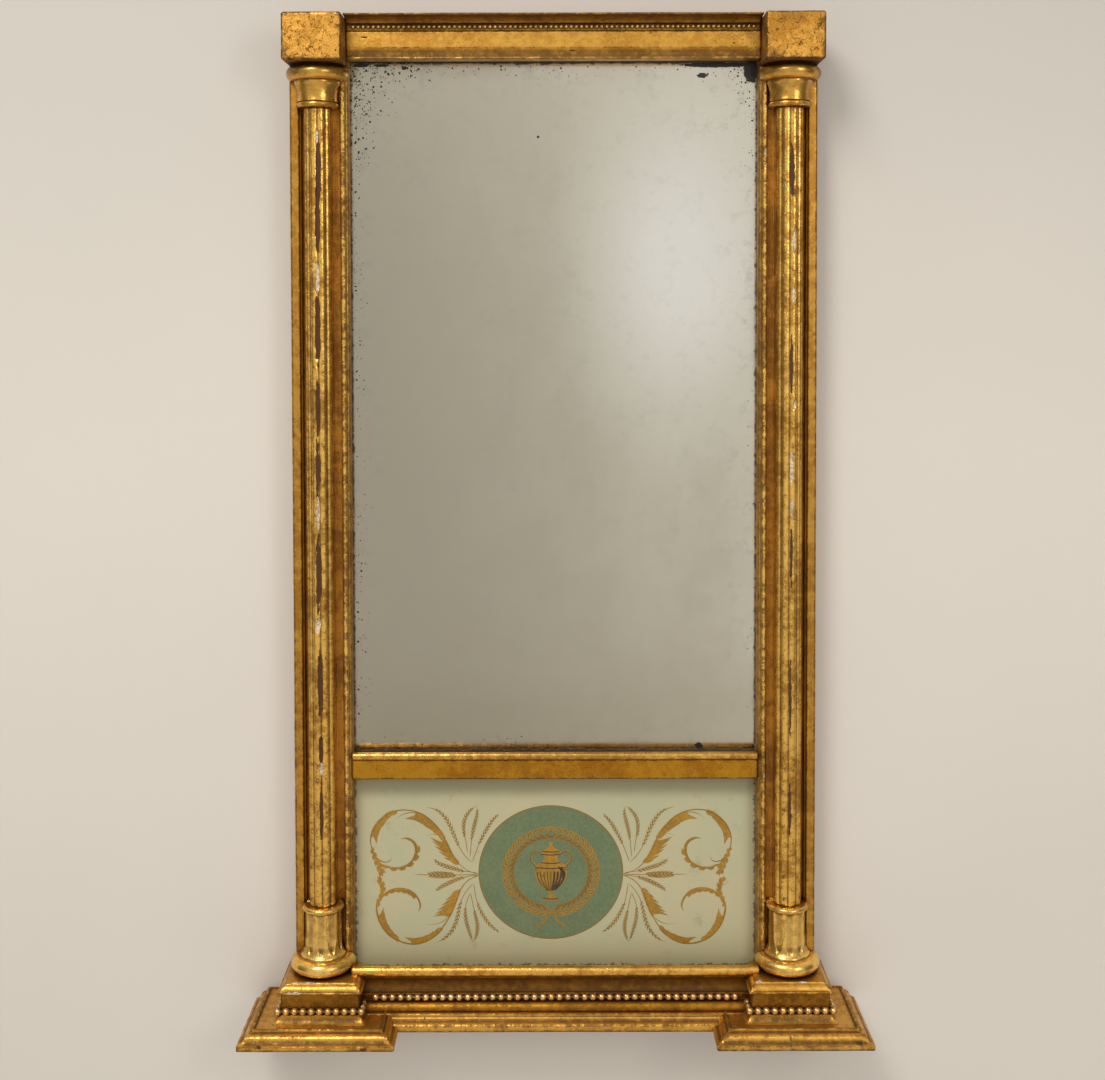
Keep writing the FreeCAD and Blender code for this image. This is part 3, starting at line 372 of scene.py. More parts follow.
def openDrawn(points, step, soft, inside, kept):
    # A drawn outline without its hidden stretch: it starts at the lower inside corner, and
    # only points further out than kept stay.
    line, out, proud = drawn(points, step, soft)
    first = np.argmin(np.hypot(line[:, 0] - inside, line[:, 1] - points[0][1]))
    line, out, proud = (np.roll(values, -first, axis=0) for values in (line, out, proud))
    shown = line[:, 0] > kept
    return line[shown], out[shown], proud[shown]


def stripOutline(points):
    # A moulding's outline given as depth in front of the carcass and height.
    return [(build["face"] - point[0],) + tuple(point[1:]) for point in points]


# Finishes
class Wiring:
    # A shader tree with short ways to add nodes and join them.
    def __init__(self, tree):
        self.tree = tree

    def put(self, socket, value):
        if isinstance(value, bpy.types.NodeSocket):
            self.tree.links.new(value, socket)
        else:
            socket.default_value = value

    def add(self, kind, inputs=None, **settings):
        node = self.tree.nodes.new("ShaderNode" + kind)
        for name, value in settings.items():
            setattr(node, name, value)
        for name, value in (inputs or {}).items():
            self.put(node.inputs[name], value)
        return node

    def where(self):
        return self.add("TexCoord").outputs["Object"]

    def noise(self, where, scale, detail=3.0, rough=0.55):
        return self.add("TexNoise", {"Vector": where, "Scale": scale, "Detail": detail,
                                     "Roughness": rough}).outputs[0]

    def sum(self, kind, first, second=0.0, clamp=False):
        return self.add("Math", {0: first, 1: second}, operation=kind, use_clamp=clamp).outputs[0]

    def times(self, first, second, clamp=False):
        return self.sum("MULTIPLY", first, second, clamp)

    def plus(self, first, second):
        return self.sum("ADD", first, second)

    def minus(self, first, second):
        return self.sum("SUBTRACT", first, second)

    def over(self, first, second):
        return self.sum("DIVIDE", first, second)

    def least(self, first, second):
        return self.sum("MINIMUM", first, second)

    def most(self, first, second):
        return self.sum("MAXIMUM", first, second)

    def rise(self, value, low, high, least=0.0, most=1.0):
        return self.add("MapRange", {0: value, 1: low, 2: high, 3: least, 4: most},
                        interpolation_type="SMOOTHSTEP").outputs[0]

    def blend(self, share, first, second):
        node = self.add("Mix", data_type="RGBA")
        for index, value in ((0, share), (6, first), (7, second)):
            self.put(node.inputs[index], value)
        return node.outputs[2]

    def mark(self, name):
        return self.add("Attribute", attribute_name=name).outputs["Fac"]

    def stray(self, where, scale, detail, rough, reach):
        # Noise about zero, to make an edge ragged.
        return self.times(self.minus(self.noise(where, scale, detail, rough), 0.5), reach)

    def apart(self, across, tall, middle, reach):
        # Squared distance from a place, counted in its reach across and up.
        awayX = self.over(self.minus(across, middle[0]), reach[0])
        awayZ = self.over(self.minus(tall, middle[1]), reach[1])
        return self.plus(self.times(awayX, awayX), self.times(awayZ, awayZ))

    def split(self, where):
        return self.add("SeparateXYZ", {0: where}).outputs

    def scaled(self, where, factors):
        return self.add("VectorMath", {0: where, 1: factors}, operation="MULTIPLY").outputs[0]


def rgb(red, green, blue):
    return (red, green, blue, 1.0)


def effect(name, inputs, outputs):
    # Starts a node group with named inputs and outputs.
    tree = bpy.data.node_groups.new(name, "ShaderNodeTree")
    for label, value in inputs.items():
        kind = "Color" if isinstance(value, tuple) else "Float"
        socket = tree.interface.new_socket(label, in_out="INPUT", socket_type="NodeSocket" + kind)
        socket.default_value = value
    for label, kind in outputs.items():
        tree.interface.new_socket(label, in_out="OUTPUT", socket_type="NodeSocket" + kind)
    wiring = Wiring(tree)
    given = tree.nodes.new("NodeGroupInput").outputs
    result = tree.nodes.new("NodeGroupOutput").inputs
    return wiring, given, result


# What the gilding is made of, and the marks and strengths it is given
giltInputs = {"Leaf": rgb(0.76, 0.405, 0.070), "Deep": rgb(0.35, 0.145, 0.012),
              "Bole": rgb(0.115, 0.046, 0.013), "GrimeAndShade": rgb(0.062, 0.025, 0.004),
              "Gesso": rgb(0.80, 0.66, 0.46), "Wood": rgb(0.050, 0.019, 0.005), "Rub": 0.0, "Groove": 0.0,
              "Loss": 0.0, "Bare": 0.0, "Mottle": 0.6, "Pits": 0.8, "Cracks": 0.0, "Wear": 0.7, "Polish": 0.0}


def makeGiltEffect():
    # Aged gilding: patchy leaf with painted glints, worn to red bole on proud edges, brown in
    # the grooves (dirt and painted shade), with pits, fine age cracks and losses down to gesso or
    # to wood.
    w, given, result = effect("agedGilding", giltInputs,
                              {"Color": "Color", "Roughness": "Float", "Metallic": "Float",
                               "Height": "Float"})
    where = w.where()
    broad = w.noise(where, 19.0, 3.0)
    patch = w.noise(where, 120.0, 4.0, 0.62)
    grain = w.noise(where, 480.0, 4.0, 0.68)
    fine = w.noise(where, 1300.0, 2.0, 0.6)
    tone = w.plus(w.times(broad, 0.4), w.times(patch, 0.4))
    tone = w.plus(tone, w.times(grain, 0.2))
    deep = w.times(w.rise(tone, 0.44, 0.58), given["Mottle"])
    colour = w.blend(deep, given["Leaf"], given["Deep"])
    # Painted glints: small spots of pale leaf, highlights painted into the colour.
    paintedGlints = w.times(w.rise(w.plus(grain, w.times(fine, 0.3)), 0.72, 0.86), 0.5)
    colour = w.blend(paintedGlints, colour, w.blend(0.5, given["Leaf"], rgb(1.0, 0.76, 0.30)))
    rub = w.plus(w.times(given["Rub"], 0.75),
                 w.plus(w.times(patch, 0.9), w.times(grain, 0.5)))
    rub = w.times(w.rise(rub, 1.24, 1.50), given["Wear"])
    colour = w.blend(rub, colour, w.blend(w.rise(fine, 0.4, 0.6), given["Bole"], given["GrimeAndShade"]))
    # Marked places darken towards the grime colour: dirt in the grooves, and painted shade where the mark
    # carries it (capital tops, block sides, lips, bead necks).
    groove = w.times(given["Groove"], w.rise(w.plus(patch, grain), 0.55, 1.15, 0.7, 1.15))
    groove = w.least(groove, 1.0)
    colour = w.blend(w.times(groove, 0.82), colour, given["GrimeAndShade"])
    cluster = w.rise(w.noise(where, 42.0, 3.0, 0.6), 0.38, 0.60, 0.35, 1.0)
    specks = w.rise(w.noise(where, 620.0, 3.0, 0.62), 0.415, 0.345)
    spots = w.rise(w.noise(where, 230.0, 3.0, 0.6), 0.33, 0.28)
    pits = w.times(w.most(w.times(specks, 0.85), spots), cluster)
    pits = w.times(pits, given["Pits"], clamp=True)
    colour = w.blend(pits, colour, w.blend(0.35, given["GrimeAndShade"], given["Bole"]))
    wander = w.scaled(w.add("TexNoise", {"Vector": where, "Scale": 90.0, "Detail": 3.0}).outputs[1],
                      (0.014, 0.014, 0.014))
    bent = w.add("VectorMath", {0: where, 1: wander}, operation="ADD").outputs[0]
    edge = w.add("TexVoronoi", {"Vector": bent, "Scale": 105.0}, feature="DISTANCE_TO_EDGE").outputs[0]
    cracks = w.times(w.rise(edge, 0.040, 0.010), w.rise(patch, 0.44, 0.56))
    cracks = w.times(cracks, given["Cracks"])
    colour = w.blend(cracks, colour, given["GrimeAndShade"])
    ragged = w.plus(w.times(w.minus(grain, 0.5), 0.9),
                    w.times(w.minus(patch, 0.5), 0.7))
    loss = w.rise(w.plus(given["Loss"], ragged), 0.46, 0.56)
    bare = w.rise(w.plus(given["Bare"], ragged), 0.42, 0.52)
    colour = w.blend(bare, colour, w.blend(w.rise(fine, 0.4, 0.62), given["Wood"], given["Bole"]))
    soiled = w.rise(w.plus(w.times(grain, 0.6), w.times(patch, 0.4)), 0.42, 0.58)
    chalk = w.blend(soiled, given["Gesso"], w.blend(0.6, given["Gesso"], given["Wood"]))
    colour = w.blend(loss, colour, chalk)
    gone = w.most(loss, bare)
    rough = w.plus(w.rise(tone, 0.38, 0.62, 0.34, 0.48), w.times(groove, 0.2))
    rough = w.minus(rough, w.times(given["Polish"], 0.20))
    rough = w.plus(rough, w.times(w.most(rub, pits), 0.2))
    rough = w.most(rough, w.times(gone, 0.88))
    metal = w.minus(0.92, w.times(groove, 0.35))
    metal = w.minus(metal, w.times(w.most(rub, pits), 0.4))
    metal = w.times(metal, w.minus(1.0, gone), clamp=True)
    height = w.plus(w.times(patch, 0.8), w.times(grain, 0.28))
    height = w.minus(height, w.times(pits, 0.35))
    height = w.minus(height, w.times(cracks, 0.5))
    height = w.minus(height, w.times(gone, 0.6))
    for name, value in (("Color", colour), ("Roughness", rough), ("Metallic", metal), ("Height", height)):
        w.put(result[name], value)
    return w.tree


def makeWoodEffect():
    # Old softwood: growth lines stretched along the board, pores, knots, dust and saw marks.
    w, given, result = effect("oldPine", {"Pale": rgb(0.30, 0.17, 0.075), "Dark": rgb(0.13, 0.062, 0.026),
                                          "Dust": rgb(0.20, 0.165, 0.125), "Upright": 1.0, "Knots": 0.5,
                                          "Dirt": 0.5},
                              {"Color": "Color", "Roughness": "Float", "Height": "Float"})
    where = w.where()
    across, deep, tall = w.split(where)
    slow = w.plus(0.05, w.times(w.minus(1.0, given["Upright"]), 0.95))
    quick = w.plus(0.05, w.times(given["Upright"], 0.95))
    stretched = w.add("CombineXYZ", {0: w.times(across, quick), 1: deep,
                                     2: w.times(tall, slow)}).outputs[0]
    wander = w.add("TexNoise", {"Vector": stretched, "Scale": 14.0, "Detail": 2.0}).outputs[1]
    bent = w.add("VectorMath", {0: stretched, 1: w.scaled(wander, (0.03, 0.03, 0.03))},
                 operation="ADD").outputs[0]
    rings = w.noise(bent, 150.0, 2.0, 0.4)
    lines = w.rise(w.noise(bent, 420.0, 3.0, 0.6), 0.40, 0.62)
    pores = w.rise(w.noise(stretched, 1500.0, 2.0, 0.7), 0.40, 0.32)
    colour = w.blend(w.rise(rings, 0.38, 0.60), given["Pale"], given["Dark"])
    colour = w.blend(w.times(lines, 0.35), colour, given["Dark"])
    colour = w.blend(w.times(pores, 0.5), colour, rgb(0.03, 0.015, 0.008))
    knot = w.add("TexVoronoi", {"Vector": w.scaled(stretched, (1.0, 0.2, 1.6)), "Scale": 7.0},
                 feature="F1").outputs[0]
    knot = w.times(w.rise(knot, 0.15, 0.07), given["Knots"])
    colour = w.blend(knot, colour, rgb(0.05, 0.018, 0.008))
    dirt = w.times(w.rise(w.noise(where, 9.0, 5.0, 0.65), 0.42, 0.66), given["Dirt"])
    colour = w.blend(dirt, colour, given["Dust"])
    stain = w.rise(w.noise(where, 23.0, 3.0, 0.6), 0.56, 0.70)
    colour = w.blend(w.times(stain, 0.4), colour, rgb(0.055, 0.032, 0.018))
    saw = w.noise(w.add("CombineXYZ", {0: w.times(across, slow), 1: deep,
                                       2: w.times(tall, quick)}).outputs[0], 330.0, 1.0)
    height = w.plus(w.times(lines, 0.5), w.times(saw, 0.5))
    height = w.minus(height, w.times(pores, 0.6))
    w.put(result["Color"], colour)
    w.put(result["Roughness"], w.rise(rings, 0.3, 0.7, 0.72, 0.9))
    w.put(result["Height"], height)
    return w.tree


def makeTarnishEffect():
    # Old metal: patchy tone, darker pits and a dull film.
    w, given, result = effect("tarnish", {"Metal": rgb(0.55, 0.36, 0.13), "Film": rgb(0.10, 0.06, 0.03),
                                          "Amount": 0.6},
                              {"Color": "Color", "Roughness": "Float", "Height": "Float"})
    where = w.where()
    patch = w.noise(where, 160.0, 5.0, 0.65)
    fine = w.noise(where, 1100.0, 3.0, 0.6)
    film = w.times(w.rise(w.plus(w.times(patch, 0.7),
                                 w.times(fine, 0.3)), 0.38, 0.62), given["Amount"])
    w.put(result["Color"], w.blend(film, given["Metal"], given["Film"]))
    w.put(result["Roughness"], w.rise(film, 0.0, 1.0, 0.32, 0.72))
    w.put(result["Height"], w.plus(w.times(patch, 0.6), w.times(fine, 0.4)))
    return w.tree


effects = {"gilt": makeGiltEffect(), "pine": makeWoodEffect(), "tarnish": makeTarnishEffect()}
materials = {}


def surface(name):
    # An empty material: its wiring, its shader and its output.
    material = bpy.data.materials.new(name)
    material.use_nodes = True
    w = Wiring(material.node_tree)
    materials[name] = material
    return w, material.node_tree.nodes["Principled BSDF"].inputs


def placed(w, kind, values):
    node = w.tree.nodes.new("ShaderNodeGroup")
    node.node_tree = effects[kind]
    for name, value in values.items():
        w.put(node.inputs[name], value)
    return node.outputs


def raised(w, shader, height, depth, strength=1.0):
    bump = w.add("Bump", {"Height": height, "Distance": depth, "Strength": strength})
    w.put(shader["Normal"], bump.outputs[0])


# Painted shade and dirt in corners: reach of the occlusion, how open a corner is where darkening starts and
# where it is full, and the colour it darkens to.
cornerShadeAndDirt = {"reach": 0.010, "open": 0.80, "closed": 0.30, "colour": rgb(0.070, 0.028, 0.004)}


def makeGilding(name, depth=0.0006, shadow=0.6, **values):
    # Gilding on one kind of piece, with painted shade and dirt in the corners that other surfaces close:
    # ambient occlusion darkens the colour there.
    w, shader = surface(name)
    marks = {"Rub": w.mark("rub"), "Groove": w.mark("groove"), "Loss": w.mark("loss"), "Bare": w.mark("bare")}
    look = placed(w, "gilt", marks | values)
    # Painted shade and dirt: the more closed a corner, the darker the colour.
    corner = w.add("AmbientOcclusion", {"Distance": cornerShadeAndDirt["reach"]}, samples=6).outputs["AO"]
    dirt = w.times(w.rise(corner, cornerShadeAndDirt["open"], cornerShadeAndDirt["closed"]), shadow)
    keep = w.minus(1.0, w.times(w.mark("loss"), 0.7))
    colour = w.blend(w.times(dirt, keep), look["Color"], cornerShadeAndDirt["colour"])
    w.put(shader["Base Color"], colour)
    w.put(shader["Roughness"], look["Roughness"])
    w.put(shader["Metallic"], look["Metallic"])
    raised(w, shader, look["Height"], depth)


# Where the carcass is washed: depth at its front, and distance of its sides from the middle
pineWash = {"front": (-0.0113, -0.0117), "sides": (0.3022, 0.3024), "Leaf": rgb(0.60, 0.275, 0.030),
            "Deep": rgb(0.30, 0.115, 0.010)}


def makePine(name, upright, front=True, **values):
    # The carcass: bare pine behind, and a brown gilder's wash on its front and its sides.
    w, shader = surface(name)
    look = placed(w, "pine", {"Upright": upright} | values)
    gilt = placed(w, "gilt", {"Leaf": pineWash["Leaf"], "Deep": pineWash["Deep"], "Mottle": 0.9})
    across, deep, tall = w.split(w.where())
    facing = w.rise(deep, *pineWash["front"])
    outside = w.rise(w.sum("ABSOLUTE", across), *pineWash["sides"])
    wash = w.times(w.most(facing, w.times(outside, 0.75)), 1.0 if front else 0.0)
    w.put(shader["Base Color"], w.blend(wash, look["Color"], gilt["Color"]))
    w.put(shader["Roughness"], w.minus(look["Roughness"], w.times(wash, 0.3)))
    w.put(shader["Metallic"], w.times(w.times(wash, gilt["Metallic"]), 0.6))
    raised(w, shader, look["Height"], 0.0005, 0.6)


def makeMetal(name, metallic=1.0, **values):
    w, shader = surface(name)
    look = placed(w, "tarnish", values)
    w.put(shader["Base Color"], look["Color"])
    w.put(shader["Roughness"], look["Roughness"])
    shader["Metallic"].default_value = metallic
    raised(w, shader, look["Height"], 0.0002, 0.7)


mirrorLook = {"tone": rgb(0.73, 0.685, 0.545), "dim": rgb(0.44, 0.405, 0.305), "paintedGlow": rgb(0.98, 0.96, 0.90),
              "paintedGlowAt": (0.1465, 0.8807), "paintedGlowReach": (0.105, 0.185), "black": rgb(0.012, 0.011, 0.009),
              "grey": rgb(0.34, 0.33, 0.28), "edgeReach": 0.045, "cornersFrom": (0.10, 0.93),
              # centre x, z and reach x, z of the places where the silvering is gone
              "patches": ((0.2290, 1.0990, 0.0090, 0.0130), (0.1900, 1.1060, 0.0420, 0.0030),
                          (0.1720, 1.0940, 0.0060, 0.0030), (0.1690, 0.3110, 0.0050, 0.0035),
                          (-0.0181, 1.0234, 0.0016, 0.0014), (-0.2230, 1.1060, 0.0090, 0.0022),
                          (-0.1990, 1.1060, 0.0090, 0.0016), (-0.1730, 1.1030, 0.0030, 0.0022))}


def makeMirror():
    # Old silvering: a dim grey with a painted reflection, brighter to the right and with a
    # painted glow high on the right, black specks that crowd towards the edges and the upper
    # corners, and a few patches where it has gone.
    w, shader = surface("mirrorSilver")
    where = w.where()
    across, deep, tall = w.split(where)
    halfSight, low, high = (build[key] * mm for key in ("halfSight", "mirrorLow", "mirrorHigh"))
    edge = w.minus(halfSight, w.sum("ABSOLUTE", across))
    edge = w.least(edge, w.least(w.minus(high, tall), w.minus(tall, low)))
    near = w.rise(edge, mirrorLook["edgeReach"], 0.0)
    aside, above = mirrorLook["cornersFrom"]
    upper = w.times(w.rise(tall, above, high), w.rise(w.sum("ABSOLUTE", across), aside, halfSight))
    crowd = w.plus(w.times(near, 0.44), w.times(upper, 0.50))
    crowd = w.times(crowd, w.rise(across, -0.05, 0.15, 1.0, 0.62))
    specks = w.most(w.noise(where, 520.0, 3.0, 0.62), w.noise(where, 260.0, 3.0, 0.6))
    limit = w.minus(0.82, w.times(crowd, 0.215))
    black = w.rise(w.minus(specks, limit), -0.012, 0.02)
    for fineness in (230.0, 410.0):
        cells = w.add("TexVoronoi", {"Vector": where, "Scale": fineness}, feature="F1").outputs
        luck = w.split(cells[1])[0]
        size = w.times(w.rise(w.minus(w.plus(crowd, 0.03), luck), 0.0, 0.5), 0.36)
        black = w.most(black, w.rise(w.minus(size, cells[0]), 0.0, 0.06))
    rim = w.rise(w.plus(edge, w.stray(where, 90.0, 4.0, 0.7, 0.011)), 0.0022, 0.0004)
    black = w.most(black, w.times(rim, 0.9))
    wobble = w.stray(where, 260.0, 4.0, 0.7, 2.4)
    for x, z, reachX, reachZ in mirrorLook["patches"]:
        away = w.apart(across, tall, (x, z), (reachX, reachZ))
        black = w.most(black, w.rise(w.plus(away, wobble), 1.15, 0.85))
    haze = w.rise(w.noise(where, 7.0, 4.0, 0.6), 0.35, 0.7)
    colour = w.blend(w.times(haze, 0.35), mirrorLook["tone"], mirrorLook["dim"])
    # Painted reflection: darker to the left and below, brighter to the right and up.
    shade = w.rise(w.plus(across, w.times(tall, 0.30)), -0.06, 0.52)
    colour = w.blend(w.minus(1.0, shade), colour, mirrorLook["dim"])
    # Painted reflection of a bright light: a glow high on the right.
    away = w.sum("SQRT", w.apart(across, tall, mirrorLook["paintedGlowAt"], mirrorLook["paintedGlowReach"]))
    colour = w.blend(w.times(w.rise(away, 1.6, 0.0), 0.85), colour, mirrorLook["paintedGlow"])
    mist = w.rise(w.noise(where, 55.0, 5.0, 0.7), 0.50, 0.72)
    mist = w.times(mist, w.plus(0.10, w.times(crowd, 0.75)))
    colour = w.blend(mist, colour, mirrorLook["grey"])
    dots = w.rise(w.noise(where, 520.0, 2.0, 0.5), 0.70, 0.78)
    colour = w.blend(w.times(dots, 0.35), colour, mirrorLook["grey"])
    w.put(shader["Base Color"], w.blend(black, colour, mirrorLook["black"]))
    w.put(shader["Metallic"], w.minus(1.0, w.times(black, 0.8)))
    w.put(shader["Roughness"], w.plus(w.rise(haze, 0.0, 1.0, 0.16, 0.24), w.times(black, 0.25)))
    shader["Coat Weight"].default_value = 0.35
    shader["Coat Roughness"].default_value = 0.03
    raised(w, shader, w.noise(where, 5.0, 2.0), 0.0008, 0.25)


panelLook = {"ground": rgb(0.52, 0.475, 0.285), "cool": rgb(0.465, 0.465, 0.290),
             "strip": rgb(0.330, 0.310, 0.175), "stain": rgb(0.205, 0.170, 0.085),
             "fleck": rgb(0.06, 0.05, 0.03), "rim": rgb(0.045, 0.035, 0.018), "stripFrom": (0.246, 0.262)}


def makePanel():
    # Painted glass: a pale celadon ground, darker under the top edge, with faint stains.
    w, shader = surface("panelPaint")
    where = w.where()
    across, deep, tall = w.split(where)
    cloudy = w.noise(where, 11.0, 4.0, 0.6)
    colour = w.blend(w.rise(cloudy, 0.35, 0.68), panelLook["ground"], panelLook["cool"])
    top = w.plus(tall, w.stray(where, 30.0, 3.0, 0.55, 0.006))
    colour = w.blend(w.rise(top, *panelLook["stripFrom"]), colour, panelLook["strip"])
    edge = w.minus(build["halfSight"] * mm, w.sum("ABSOLUTE", across))
    edge = w.least(edge, w.minus(tall, build["panelLow"] * mm))
    colour = w.blend(w.times(w.rise(edge, 0.020, 0.0), 0.45), colour, panelLook["strip"])
    grain = w.noise(where, 420.0, 4.0, 0.7)
    stain = w.rise(w.plus(w.times(w.noise(where, 34.0, 5.0, 0.7), 0.75), w.times(grain, 0.25)), 0.57, 0.68)
    colour = w.blend(w.times(stain, 0.30), colour, panelLook["stain"])
    flecks = w.rise(grain, 0.30, 0.24)
    colour = w.blend(w.times(flecks, 0.8), colour, panelLook["fleck"])
    ragged = w.plus(edge, w.stray(where, 210.0, 4.0, 0.7, 0.016))
    colour = w.blend(w.times(w.rise(ragged, 0.0022, 0.0002), 0.85), colour, panelLook["rim"])
    w.put(shader["Base Color"], colour)
    w.put(shader["Roughness"], w.rise(cloudy, 0.3, 0.7, 0.42, 0.55))
    shader["Coat Weight"].default_value = 0.25
    shader["Coat Roughness"].default_value = 0.06
    raised(w, shader, w.noise(where, 6.0, 2.0), 0.0006, 0.2)


def makePaint(name, first, second):
    # Paint on the panel: brush streaks between two tones, thin places and fine cracks.
    w, shader = surface(name)
    where = w.where()
    streak = w.noise(where, 260.0, 4.0, 0.65)
    broad = w.noise(where, 40.0, 3.0, 0.6)
    colour = w.blend(w.rise(w.plus(w.times(streak, 0.6), w.times(broad, 0.4)),
                            0.40, 0.60), first, second)
    shadeMark = w.mark("shade")
    colour = w.blend(w.times(shadeMark, 0.8), colour, rgb(0.120, 0.075, 0.009))
    thin = w.rise(w.noise(where, 700.0, 3.0, 0.7), 0.33, 0.27)
    colour = w.blend(w.times(thin, 0.7), colour, panelLook["ground"])
    w.put(shader["Base Color"], colour)
    w.put(shader["Roughness"], w.rise(streak, 0.3, 0.7, 0.35, 0.5))
    shader["Coat Weight"].default_value = 0.2
    shader["Coat Roughness"].default_value = 0.08
    raised(w, shader, streak, 0.0001, 0.5)


makeGilding("gilding", depth=0.0004, Polish=0.35)
makeGilding("giltColumn", depth=0.0004, Leaf=rgb(0.95, 0.56, 0.12), Mottle=0.8, Pits=0.9, Wear=0.8,
            Polish=0.7)
makeGilding("giltBurnished", depth=0.00022, shadow=0.8, Leaf=rgb(0.84, 0.47, 0.095), Mottle=0.65, Pits=0.6,
            Wear=0.35, Polish=1.0)
# A brighter copy of the gilding for the column bases: painted light, as if lit from above.
makeGilding("giltBasePaintedLight", depth=0.0002, shadow=0.8, Leaf=rgb(0.98, 0.62, 0.16), Mottle=0.5, Pits=0.5, Wear=0.3,
            Polish=1.0)
makeGilding("giltOuter", depth=0.0004, Leaf=rgb(0.62, 0.325, 0.052), Mottle=0.8, Polish=0.35)
makeGilding("giltBlock", depth=0.0004, Leaf=rgb(0.70, 0.355, 0.062), Mottle=0.7, Pits=1.0, Cracks=0.9,
            Wear=0.9)
# A paler copy of the gilding for the beads: painted highlights.
makeGilding("giltBeadsPaintedHighlight", depth=0.0001, Leaf=rgb(0.92, 0.60, 0.24), Mottle=0.5, Pits=0.5, Wear=0.3, Polish=0.9)
makeGilding("giltBrown", Leaf=rgb(0.54, 0.26, 0.016), Deep=rgb(0.34, 0.135, 0.008), Mottle=0.8, Pits=1.0)
# A darker copy of the gilding for the rail cove and the plinth dies: painted shade in these recesses.
makeGilding("giltRecessPaintedShade", Leaf=rgb(0.36, 0.155, 0.012), Deep=rgb(0.17, 0.062, 0.005), Mottle=0.8, Pits=0.9)
# A darker copy of the gilding for the frieze cornice: painted shade under its lip.
makeGilding("giltCornicePaintedShade", Leaf=rgb(0.46, 0.22, 0.028), Deep=rgb(0.22, 0.09, 0.010), Mottle=0.8, Pits=0.9)
makePine("pineUpright", 1.0)
makePine("pineLevel", 0.0)
makePine("pineBoard", 0.0, front=False, Pale=rgb(0.34, 0.21, 0.10), Knots=0.8, Dirt=0.6)
makeMetal("oldBrass", Metal=rgb(0.58, 0.39, 0.14), Film=rgb(0.16, 0.095, 0.04))
makeMetal("oldIron", 0.75, Metal=rgb(0.14, 0.12, 0.11), Film=rgb(0.10, 0.042, 0.018), Amount=0.8)
makeMirror()
makePanel()
makePaint("goldPaint", rgb(0.45, 0.240, 0.010), rgb(0.32, 0.160, 0.007))
makePaint("darkPaint", rgb(0.028, 0.014, 0.003), rgb(0.060, 0.032, 0.006))
makePaint("tealPaint", rgb(0.118, 0.168, 0.078), rgb(0.155, 0.205, 0.096))
print("finishes made")


# Strips of the frieze, the cross rail and the base rail, as depth in front of the carcass,
# height and bend
frieze = {"span": (-236.5, 236.5),
          "board": [(0, 1109), (17.5, 1109), (17.5, 1111.5), (16, 1111.5, -0.3), (20, 1121), (20, 1140),
                    (0, 1140)],
          "cornice": [(0, 1140), (18, 1140), (18, 1148.5), (20, 1148.5, -0.3), (37, 1154.5), (39, 1154.5),
                      (39, 1157), (0, 1157)],
          # x, y, z, reach x, y, z, depth and kind of the places where the gilding is gone
          "gone": [(-214, -39, 1133, 5, 4, 0.9, 0.25, "wood"), (22, -38, 1118, 4, 4, 1.0, 0.25, "wood"),
                   (205, -39, 1126, 2, 4, 1.2, 0.3, "wood")]}
railSpan = (-build["halfSight"], build["halfSight"])
crossRail = {"sight": [(0, 300), (8.5, 300, 1), (8.5, 309, quarter), (4, 304.5), (4, 303), (0, 303)],
             "band": [(0, 277), (7.5, 277, quarter), (9, 278.5), (9, 300), (0, 300)]}
baseRail = {"foot": [(0, 0), (50, 0), (50, 5, quarter), (46.25, 9, -quarter), (42.5, 13), (41.5, 13),
                     (41.5, 17), (0, 17)],
            "cove": [(0, 17), (37, 17, quarter), (30, 26), (26, 26), (26, 33.5), (22, 33.5, -0.45),
                     (26, 51.5), (26, 53), (0, 53)],
            "torus": [(19, 53), (25, 53, 1), (25, 65, quarter), (19, 59)],
            "gone": [(-78, -44, 53.8, 11, 3, 0.6, 0.3, "gesso"), (96, -45, 64, 4, 3, 1.0, 0.3, "wood")]}


def friezeAndRails():
    rows = (("giltFriezeBoard", "frieze_board", frieze["board"], {"hollows": frieze["gone"]}),
            ("giltFriezeCornice", "frieze_cornice", frieze["cornice"],
             {"material": "giltCornicePaintedShade", "chips": 0.5}),
            ("giltSightMoulding", "cross_rail_sight_moulding", crossRail["sight"],
             {"material": "giltBurnished", "soft": 0.4}),
            ("giltCrossBand", "cross_rail_band", crossRail["band"], {"material": "giltBrown"}),
            ("giltBaseFoot", "base_rail_foot", baseRail["foot"], {"chips": 0.5}),
            ("giltBaseCove", "base_rail_cove", baseRail["cove"], {"material": "giltRecessPaintedShade"}),
            ("giltBaseTorus", "base_rail_torus", baseRail["torus"],
             {"material": "giltBurnished", "hollows": baseRail["gone"]}))
    for number, (name, node, points, settings) in enumerate(rows):
        span = frieze["span"] if node.startswith("frieze") else railSpan
        moulding(name, node, stripOutline(points), span, "x", 11 + number, **settings)


friezeAndRails()
print("frieze and rails made")


# Strips beside the columns, in plan from the sight edge outwards
bands = {"low": 58.0, "high": 1102.0, "round": 2.8, "bevel": 1.5, "lip": 239.6}


